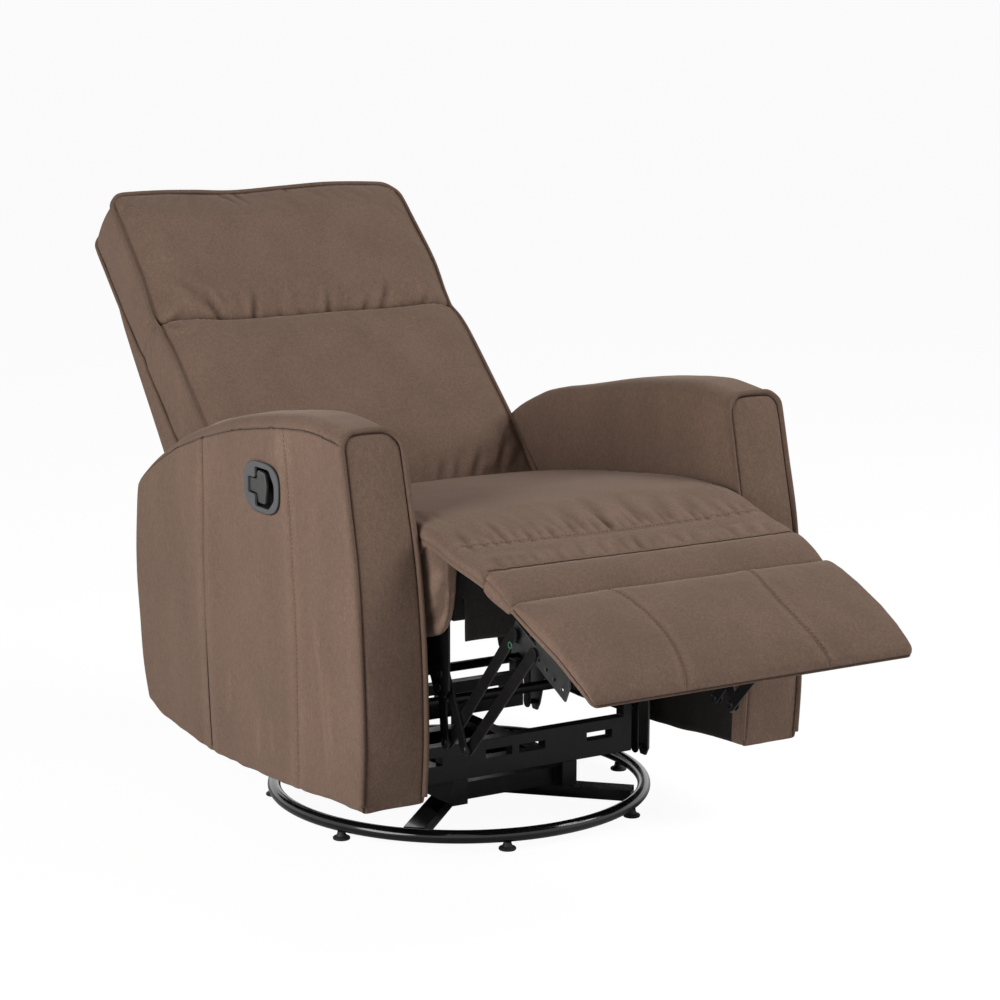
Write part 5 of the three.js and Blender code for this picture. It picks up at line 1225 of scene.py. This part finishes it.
class RECLINER_OT_seat(bpy.types.Operator):
    """Makes the seat cushion, the flap over the crease and the padded footrest"""
    bl_idname = "recliner.seat"
    bl_label = "Seat and footrest"

    def execute(self, context):
        sizes = context.scene.recliner_seat
        for piece in (self.cushion(sizes), self.flap(sizes), self.footrest(sizes)):
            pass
        for name, side in SIDES.items():
            self.skirt(name, side)
        self.lining()
        return {"FINISHED"}

    def cushion(self, sizes):
        length, seam = SEAT_REAR - SEAM_TWO, SEAT_REAR - SEAM_ONE

        def shape(u, v, w):
            run = v * length
            y = SEAT_REAR - run
            top, base = seat_top(y), seat_base(y)
            base = base + smooth(-y, 0.3, 0.35) * (top - SEAT_SIDE_HEIGHT - base)
            half = SEAT_HALF_WIDTH - SEAT_NARROWING * smooth(-y, 0.3, 0.5)
            off, down = rounded(inwards(u, 2 * half), (1 - w) * (top - base), SEAT_EDGE)
            lift = sizes.crown * (0.8 * roll(off, 0.1) + 0.2 * roll(off, 0.03))
            ends = roll(run + 4 * MM, 0.09) * (1 - 0.93 * smooth(-y, 0.34, 0.5))
            bulge = SEAT_BULGE * arch(w) * at_sides(u)
            tuck = (1 - roll(inwards(v, length), 5 * MM)) * SEAT_TUCK * w
            curve = hump(run - seam, 50 * MM) * SEAM_BOW * (2 * u - 1) ** 2
            return np.stack([across(u, half + bulge, off), y + curve, top - down + lift * ends * w - tuck], 1)

        cuts = [stations(2 * SEAT_HALF_WIDTH, sizes.step), stations(length, sizes.step, [seam]),
                stations(SEAT_DEPTH, sizes.step, [SEAT_DEPTH - SEAT_SIDE_SEAM])]
        mesh, shares = formed("seat_pad", cuts, shape)
        u, v, w = shares.T
        off = v * length - seam
        rim = np.minimum(inwards(u, 2 * SEAT_HALF_WIDTH), inwards(v, length))
        free = (w > 0.999) * smooth(rim, 6 * MM, 24 * MM) * smooth(np.abs(off), 2 * MM, 16 * MM)
        stuffed(mesh, 1 - free, 0.5)
        points = points_of(mesh)
        x, y, _ = points.T
        top = smooth(w, 0.9, 1)
        height = SEAT_SIDE_HEIGHT + (seat_top(y) - seat_base(y) - SEAT_SIDE_HEIGHT) * smooth(y, -0.35, -0.3)
        amount = sewn(off, 0.8 * MM, 0.7 * MM) * top
        amount -= 2.2 * MM * hump((1 - w) * height - SEAT_SIDE_SEAM) * at_sides(u)
        amount += folded(x, y, wrinkles(sizes.wrinkle / MM)) * top
        # Painted shade in the seams' grooves and the wrinkles, and painted highlight on their ridges.
        paint_fold_shade(mesh, amount * 0.75)
        push(mesh, amount + 1.3 * MM * waves(points, 0.13, 41) * top)
        seat = add_piece("seat_pad", mesh, "brown_cloth", "seat", ["seat_cushion"])
        tree, u, ones = surface(seat), np.linspace(0.015, 0.985, 80), np.ones(80)
        row = stitches(tree, shape(u, ones * (seam - 4 * MM) / length, ones))
        add_piece("seat_stitching", row, "thread", "seat")
        # A dark cord in the seat's front seam, as its painted shadow.
        add_piece("seat_seam", seam_shadow_cord(tree, shape(u, ones - 2.5 * MM / length, ones)), "seam_shadow", "seat")
        return seat

    def flap(self, sizes):
        """The cloth that bends over the crease between the seat and the footrest."""
        first = np.array([SEAM_TWO, 0.4765])
        last = on_footrest(np.zeros(1), np.array([REST_START]), np.zeros(1))[0, 1:]
        top = line_through([first, first + (-0.018, -0.0055), (-0.5405, 0.4608), last], 60)
        under = line_through([first + (0.006, -0.026), first + (-0.01, -0.034), last + (0.008, -0.014)], 60)

        def shape(u, v, w):
            off, down = rounded(inwards(u, 2 * FLAP_HALF), (1 - w) * FLAP_THICK, SEAT_EDGE)
            y, z = (along(under, v) + (along(top, v) - along(under, v)) * (1 - down / FLAP_THICK)[:, None]).T
            end = inwards(v, FLAP_RUN)
            lift = 4 * MM * roll(off, 0.06) * roll(end, 0.03) * w
            tuck = (1 - roll(end, 4 * MM)) * SEAT_TUCK * w
            return np.stack([across(u, FLAP_HALF, off), y, z + lift - tuck], 1)

        cuts = [stations(0.52, sizes.step), stations(FLAP_RUN, 3.5 * MM),
                stations(FLAP_THICK, 4 * MM, [FLAP_THICK - FLAP_SEAM])]
        mesh, shares = formed("crease_flap", cuts, shape)
        u, v, w = shares.T
        points, face = points_of(mesh), smooth(w, 0.8, 1)
        amount = 0.4 * sizes.wrinkle * gathers(points[:, 0], v * FLAP_RUN, 52, 20 * MM, 24 * MM) * face
        amount -= 2 * MM * hump((1 - w) * FLAP_THICK - FLAP_SEAM) * at_sides(u)
        # Painted shade in the gathers and the side seams, and painted highlight on the gathers' ridges.
        paint_fold_shade(mesh, amount)
        push(mesh, amount + 0.8 * MM * waves(points, 0.07, 51) * face)
        flap = add_piece("crease_flap", mesh, "brown_cloth")
        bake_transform(flap)
        return flap

    def footrest(self, sizes):
        def shape(u, v, w):
            off, near, far = inwards(u, 2 * REST_HALF), v * REST_LENGTH, (1 - v) * REST_LENGTH
            run = REST_START + near
            crown = puff(off, 70 * MM) * puff(near, 30 * MM) * puff(far, 50 * MM)
            top = np.interp(run, *REST_EDGE.T) + sizes.footrest_crown * crown
            foot = -np.interp(run, *REST_LOW.T) - REST_BELLY * smooth(np.minimum(off, far), 6 * MM, 48 * MM)
            thick = top - foot
            down, up = (1 - w) * thick, w * thick
            radii = [np.minimum(largest, thick * share) for largest, share in REST_EDGES]
            off, down = rounded(off, down, radii[0])
            off, up = rounded(off, up, radii[1])
            far, down = rounded(far, down, radii[2])
            far, up = rounded(far, up, radii[3])
            off, far = rounded(off, far, REST_CORNER)
            run = np.where(v > 0.5, REST_END - far, run)
            tuck = (1 - roll(near, 4 * MM)) * 3 * MM * w
            return on_footrest(across(u, REST_HALF, off), run, np.where(w > 0.5, top - down, foot + up) - tuck)

        cuts = [stations(2 * REST_HALF, sizes.step, [REST_HALF - STITCH_LINE, REST_HALF + STITCH_LINE]),
                stations(REST_LENGTH, sizes.step), stations(30 * MM, 3.5 * MM, [6 * MM])]
        mesh, shares = formed("footrest_cover", cuts, shape)
        u, v, w = shares.T
        x, near = (2 * u - 1) * REST_HALF, v * REST_LENGTH
        rim = np.minimum(inwards(u, 2 * REST_HALF), inwards(v, REST_LENGTH))
        line = np.abs(np.abs(x) - STITCH_LINE)
        stuffed(mesh, 1 - (w > 0.999) * smooth(rim, 4 * MM, 24 * MM) * smooth(line, 2 * MM, 14 * MM), 0.4)
        top = smooth(w, 0.85, 1)
        thick, seam = rest_rim(v)
        amount = sewn(line, 0.9 * MM, 1.3 * MM) * top
        amount -= 1.8 * MM * hump(w * thick - seam) * (rim < 1e-5) * (v > 1e-5)
        amount += 0.9 * MM * gathers(x, REST_LENGTH - near, 62, 16 * MM, 22 * MM) * top
        amount += 1.1 * MM * gathers(x, near, 63, 25 * MM, 34 * MM) * top
        # Painted shade in the stitched lines, the edge seam and the gathers, and painted highlight on their
        # ridges.
        paint_fold_shade(mesh, amount * 0.8)
        push(mesh, amount + 1 * MM * waves(points_of(mesh), 0.1, 61) * top)
        points = points_of(mesh)
        points[:, 0] += np.interp(np.abs(x), [0, STITCH_LINE, REST_HALF], [0, 1, 0]) * bow(v) * np.sign(x)
        set_points(mesh, points)
        rest = add_piece("footrest_cover", mesh, "brown_cloth black_lining", "footrest",
                         ["footrest_pad", "footrest_board"])
        under = Vector((0, math.sin(REST_DROP), -math.cos(REST_DROP)))
        for face in mesh.polygons:
            a, b, level = shares[list(face.vertices)].mean(0)
            inside = inwards(a, 2 * REST_HALF) > 12 * MM and (1 - b) * REST_LENGTH > 10 * MM
            if level < 0.01 and inside and face.normal.dot(under) > 0.2:
                face.material_index = 1
        self.rest_seams(surface(rest), shape)
        return rest

    def rest_seams(self, tree, shape):
        """The footrest's stitched lines, and a dark cord in the seam around its edge as its painted shadow."""
        v, ones = np.linspace(0.03, 0.95, 60), np.ones(60)
        rows = [stitches(tree, shape(0.5 + side * (STITCH_LINE + bow(v) + 3.6 * MM) / (2 * REST_HALF), v, ones))
                for side in (-1, 1)]
        rows.append(stitches(tree, shape(np.linspace(0.02, 0.98, 60), ones * 7 * MM / REST_LENGTH, ones)))
        add_piece("footrest_stitching", joined(rows), "thread", "footrest")
        side, tip = np.linspace(0.03, 1, 60), np.linspace(0, 1, 90)[1:-1]
        u = np.concatenate([np.zeros(60), tip, ones])
        v = np.concatenate([side, np.ones(88), side[::-1]])
        thick, seam = rest_rim(v)
        add_piece("footrest_seam", seam_shadow_cord(tree, shape(u, v, seam / thick)), "seam_shadow", "footrest")

    def skirt(self, name, side):
        """The cloth over one side of the seat box."""
        width = SKIRT_OUTSIDE - SKIRT_INSIDE

        def shape(u, v, w):
            top_y = SKIRT_REAR - v * (SKIRT_REAR - SKIRT_FRONT)
            place = along(SKIRT_LOWER, v)
            y, z = (place + (np.column_stack([top_y, seat_top(top_y) - SKIRT_DROP]) - place) * w[:, None]).T
            off, low = rounded(inwards(u, width), w * SKIRT_HEIGHT, 9 * MM)
            off, high = rounded(off, (1 - w) * SKIRT_HEIGHT, 4 * MM)
            recess = SKIRT_RECESS * smooth(-y, 0.3, 0.37) * smooth(u, 0, 1)
            x = np.where(u > 0.5, SKIRT_OUTSIDE - off, SKIRT_INSIDE + off) - recess
            return np.stack([side * x, y, z + low + (1 - 2 * w) * SKIRT_HEIGHT - high], 1)

        cuts = [stations(width, 4 * MM), stations(SKIRT_RUN, 6 * MM), stations(SKIRT_HEIGHT, 6 * MM)]
        mesh, shares = formed(f"seat_skirt_{name}", cuts, shape)
        u, v, w = shares.T
        points = points_of(mesh)
        _, y, z = points.T
        amount = 1.4 * MM * waves(points, 0.04, 71 + side, (1, 1, 2))
        amount += 1.6 * MM * gathers(y, w * SKIRT_HEIGHT, 73, 22 * MM, 26 * MM)
        amount += folded(y, z, SKIRT_FOLDS)
        # Painted shade in the folds and gathers, painted highlight on their ridges, and painted shade over the
        # skirt's front, where the arm shades it.
        paint_fold_shade(mesh, amount * 1.5 - 1.6 * MM * smooth(-y, 0.34, 0.38))
        push(mesh, amount * smooth(u, 0.7, 1) * (1 - smooth(w, 0.93, 1)))
        add_piece(f"seat_skirt_{name}", mesh, "brown_cloth", "seat", [f"seat_side_{name}"])

    def lining(self):
        """The black cloth that hangs over the seat box's front rail, wider at its top."""
        face = box_of("seat_rail_front")[0].y - 1.5 * MM

        def shape(u, v, w):
            x = (2 * u - 1) * (LINING_HALF + LINING_FLARE * smooth(w, 0.55, 0.7))
            y = face - (1 - v) * 2 * MM + 2.5 * MM * np.sin(x * 55) * (1 - w)
            return np.stack([x, y, LINING_LOW + w * (LINING_HIGH - LINING_LOW)], 1)

        cuts = [stations(2 * LINING_HALF, 8 * MM), np.array([0, 1]), stations(0.11, 8 * MM)]
        mesh, _ = formed("front_lining", cuts, shape)
        push(mesh, 0.8 * MM * waves(points_of(mesh), 0.05, 81))
        add_piece("front_lining", mesh, "black_lining", "seat")


# Base and mechanism

# The floor glides' outline from the foot up: share of the radius, and height.
GLIDE_PROFILE = [(0.94, 0.0), (1, 1 * MM), (1, 3 * MM), (0.9, 4.2 * MM), (0.62, 5.6 * MM), (0.5, 8.6 * MM),
                 (0.46, 12 * MM)]
# A rivet head's outline: share of the radius, and how far it stands out.
RIVET_PROFILE = [(0.35, 2.1 * MM), (0.7, 1.6 * MM), (0.95, 0.8 * MM), (1.0, 0.0)]
# The links lie in layers side by side, each from the first distance to the middle to the second.
PLATE_WALL, LAYER_STEP = 0.2417, 4 * MM
LAYERS = [(0.2342 - LAYER_STEP * number, 0.2372 - LAYER_STEP * number) for number in range(4)]
# Rivets through the pivots: joint, body, and from where to where each goes.
RIVETS = [("rear_crank", "rear_crank", LAYERS[0][0], PLATE_WALL),
          ("front_crank", "front_crank", LAYERS[1][0], PLATE_WALL),
          ("rear_link", "rear_link", LAYERS[2][0], LAYERS[0][1]),
          ("front_link", "front_link", LAYERS[3][0], LAYERS[1][1]),
          ("swing_front", "swing_link_front", LAYERS[1][0], PLATE_WALL),
          ("swing_rear", "swing_link_rear", LAYERS[1][0], PLATE_WALL)]
PAINT_MARK, MARK_RADIUS = (-0.2299, -0.513, 0.376), 4.2 * MM
NODE_FINISHES = {"black_steel": "black_enamel", "gloss_steel": "gloss_enamel", "grey_steel": "zinc",
                 "spring_steel": "spring_wire", "timber": "ply", "grey_plastic": "grey_plastic",
                 "black_rubber": "rubber", "upholstery": "brown_cloth"}


class BaseSizes(bpy.types.PropertyGroup):
    """Sizes of the base and the mechanism's small trim."""
    ring_steps: IntProperty(name="Ring steps", description="Steps around the base ring", default=144, min=24)
    slim: FloatProperty(name="Ring tube", description="Share of the tube's radius that is drawn", default=0.8)
    rivet: length_of("Rivet radius", "Radius of a rivet's domed head", 6.6 * MM)
    edge: length_of("Softened edge", "Rounding of the sheet steel's edges", 0.6 * MM)


class RECLINER_OT_base(bpy.types.Operator):
    """Makes the round base ring and its glides"""
    bl_idname = "recliner.base"
    bl_label = "Base"

    def execute(self, context):
        sizes = context.scene.recliner_base
        low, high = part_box("base_ring")
        radius = (high.z - low.z) / 2
        reach = (high.x - low.x) / 2 - radius
        middle = (low.z + high.z) / 2 + (1 - sizes.slim) * radius / 2
        place = Matrix.Translation((reach, 0, middle)) @ Matrix.Rotation(math.pi / 2, 4, "X")
        ring = bmesh.new()
        bmesh.ops.create_circle(ring, segments=24, radius=radius * sizes.slim, matrix=place)
        bmesh.ops.spin(ring, geom=ring.verts[:] + ring.edges[:], cent=(0, 0, 0), axis=(0, 0, 1),
                       angle=2 * math.pi, steps=sizes.ring_steps, use_merge=True)
        bmesh.ops.remove_doubles(ring, verts=ring.verts, dist=1e-5)
        bmesh.ops.recalc_face_normals(ring, faces=ring.faces)
        add_piece("ring_tube", ring, "gloss_enamel", "base", ["base_ring"])
        names = sorted(name for name in frame["nodes"] if name.startswith("floor_pad"))
        feet = []
        for name in names:
            low, high = box_of(name)
            x, y, _ = (low + high) / 2
            profile = [((high.x - x) * share, height) for share, height in GLIDE_PROFILE]
            feet.append(lathe(profile, (x, y, 0), 2, 32))
        add_piece("floor_glides", joined(feet), "rubber", "base", names, sharp=40)
        return {"FINISHED"}


class RECLINER_OT_mechanism(bpy.types.Operator):
    """Finishes the steel frame, links, springs and timber, and adds the domed rivets"""
    bl_idname = "recliner.mechanism"
    bl_label = "Mechanism"

    def execute(self, context):
        sizes = context.scene.recliner_base
        for name, node in frame["nodes"].items():
            given = NODE_FINISHES[node.data.materials[0].name.split(".")[0]]
            if name == "seat_rail_front":  # wrapped in the lining
                given = "black_lining"
            node.data.materials[0] = finish(given)
            if given in ("black_enamel", "zinc", "gloss_enamel") and not node.hide_render:
                weld = node.modifiers.new("joined", "WELD")
                weld.merge_threshold = 0.00002
                edge = node.modifiers.new("softened", "BEVEL")
                edge.width = sizes.edge
                edge.segments = 2
                edge.limit_method = "ANGLE"
                edge.angle_limit = math.radians(40)
                edge.harden_normals = False
        for name, side in SIDES.items():
            for joint, body, inside, outside in RIVETS:
                _, y, z = pivot(f"{joint}_{name}") - SHIFT
                ends = [(share * sizes.rivet, side * (inside - out)) for share, out in RIVET_PROFILE]
                ends += [(share * sizes.rivet, side * (outside + out)) for share, out in RIVET_PROFILE[::-1]]
                rivet = lathe(ends, (0, y, z), 0, 20)
                add_piece(f"rivet_{joint}_{name}", rivet, "black_enamel", f"{body}_{name}", sharp=60)
        turn = np.arange(24) * 2 * math.pi / 24
        loop = np.stack([np.zeros(24), MARK_RADIUS * np.cos(turn), MARK_RADIUS * np.sin(turn)], 1) + PAINT_MARK
        add_piece("paint_mark", tube(loop, 1 * MM, 8, closed=True), "green_mark", "rear_link_right")
        return {"FINISHED"}


# Stage

LAMPS = {"key": (-3.3, -0.9, 1.4), "fill": (2.6, -1.6, 3.0)}
LAMP_SIZE, LAMP_AIM = 2.2, Vector((0, 0, 0.45))
CAMERA_PLACE, CAMERA_AIM = Vector((-2.1645, -3.5693, 1.2786)), Vector((0, 0.018, 0.4441))
CAMERA_SHIFT = (0.041, 0.01356)


class StageSettings(bpy.types.PropertyGroup):
    """Light and camera."""
    key: FloatProperty(name="Key light", description="Power of the low lamp at the chair's right", default=84)
    fill: FloatProperty(name="Fill light", description="Power of the high lamp at the chair's left", default=98)
    ambient: FloatProperty(name="Ambient", description="Level of light from all around", default=0.05)
    lens: FloatProperty(name="Lens", description="Focal length of the camera in millimetres", default=100.81)


def placed(name, data, place, aim):
    """Puts a lamp or a camera in its place, turned to what it aims at."""
    item = bpy.data.objects.new(name, data)
    item.location = place
    item.rotation_euler = (aim - Vector(place)).to_track_quat("-Z", "Y").to_euler()
    bpy.context.scene.collection.objects.link(item)
    return item


class RECLINER_OT_stage(bpy.types.Operator):
    """Sets up the pale floor, the lamps and the camera"""
    bl_idname = "recliner.stage"
    bl_label = "Stage"

    def execute(self, context):
        scene = context.scene
        settings = scene.recliner_stage
        scene.view_settings.view_transform = "Standard"
        plane = bmesh.new()
        bmesh.ops.create_grid(plane, x_segments=1, y_segments=1, size=200)
        floor = add_piece("floor", plane, "pale_floor")
        for name, place in LAMPS.items():
            lamp = bpy.data.lights.new(f"{name}_lamp", "AREA")
            lamp.shape = "DISK"
            lamp.size = LAMP_SIZE
            lamp.energy = getattr(settings, name)
            placed(f"{name}_lamp", lamp, place, LAMP_AIM)
        camera = bpy.data.cameras.new("camera")
        camera.lens = settings.lens
        camera.sensor_width = 36
        camera.shift_x, camera.shift_y = CAMERA_SHIFT
        scene.camera = placed("camera", camera, CAMERA_PLACE, CAMERA_AIM)
        self.world(scene, settings.ambient)
        return {"FINISHED"}

    def world(self, scene, ambient):
        """Faint light from all around, and a white background to the camera, in gloss and through glass."""
        world = bpy.data.worlds.new("studio")
        world.use_nodes = True
        nodes, links = world.node_tree.nodes, world.node_tree.links
        background = nodes["Background"]
        background.inputs["Color"].default_value = (1, 1, 1, 1)
        ray = nodes.new("ShaderNodeLightPath")
        plain = None
        for name in ("Is Camera Ray", "Is Glossy Ray", "Is Transmission Ray"):
            step = nodes.new("ShaderNodeMath")
            step.operation = "MAXIMUM"
            links.new(ray.outputs[name], step.inputs[0])
            if plain:
                links.new(plain, step.inputs[1])
            else:
                step.inputs[1].default_value = 0
            plain = step.outputs[0]
        level = nodes.new("ShaderNodeMapRange")
        level.inputs["To Min"].default_value = ambient
        level.inputs["To Max"].default_value = 1.0
        links.new(plain, level.inputs["Value"])
        links.new(level.outputs[0], background.inputs["Strength"])
        scene.world = world


# Add-on


class RECLINER_PT_panel(bpy.types.Panel):
    """Lists the chair's pieces in the order in which they are made"""
    bl_label = "Recliner"
    bl_idname = "RECLINER_PT_panel"
    bl_space_type = "VIEW_3D"
    bl_region_type = "UI"
    bl_category = "Recliner"

    def draw(self, context):
        for step in OPERATORS:
            self.layout.operator(step.bl_idname)
        for name, group in GROUPS.items():
            box = self.layout.box()
            for setting in group.__annotations__:
                box.prop(getattr(context.scene, name), setting)


GROUPS = {
    "recliner_finishes": Finishes,
    "recliner_arms": ArmSizes,
    "recliner_handle": HandleSizes,
    "recliner_stuffing": StuffingSizes,
    "recliner_back": BackSizes,
    "recliner_seat": SeatSizes,
    "recliner_base": BaseSizes,
    "recliner_stage": StageSettings,
}
OPERATORS = [
    RECLINER_OT_arms, RECLINER_OT_handle, RECLINER_OT_back, RECLINER_OT_seat, RECLINER_OT_base,
    RECLINER_OT_mechanism, RECLINER_OT_stage,
]


def register():
    """Adds the groups, operators and panel."""
    for name, group in GROUPS.items():
        bpy.utils.register_class(group)
        setattr(bpy.types.Scene, name, PointerProperty(type=group))
    for step in (*OPERATORS, RECLINER_PT_panel):
        bpy.utils.register_class(step)


def unregister():
    """Takes them away again."""
    for step in (RECLINER_PT_panel, *reversed(OPERATORS)):
        bpy.utils.unregister_class(step)
    for name, group in reversed(GROUPS.items()):
        delattr(bpy.types.Scene, name)
        bpy.utils.unregister_class(group)


def main():
    """Makes every piece in order."""
    register()
    bpy.ops.recliner.stage()
    bpy.ops.recliner.arms()
    bpy.ops.recliner.handle()
    bpy.ops.recliner.back()
    bpy.ops.recliner.seat()
    bpy.ops.recliner.base()
    bpy.ops.recliner.mechanism()


if __name__ == "__main__":
    main()
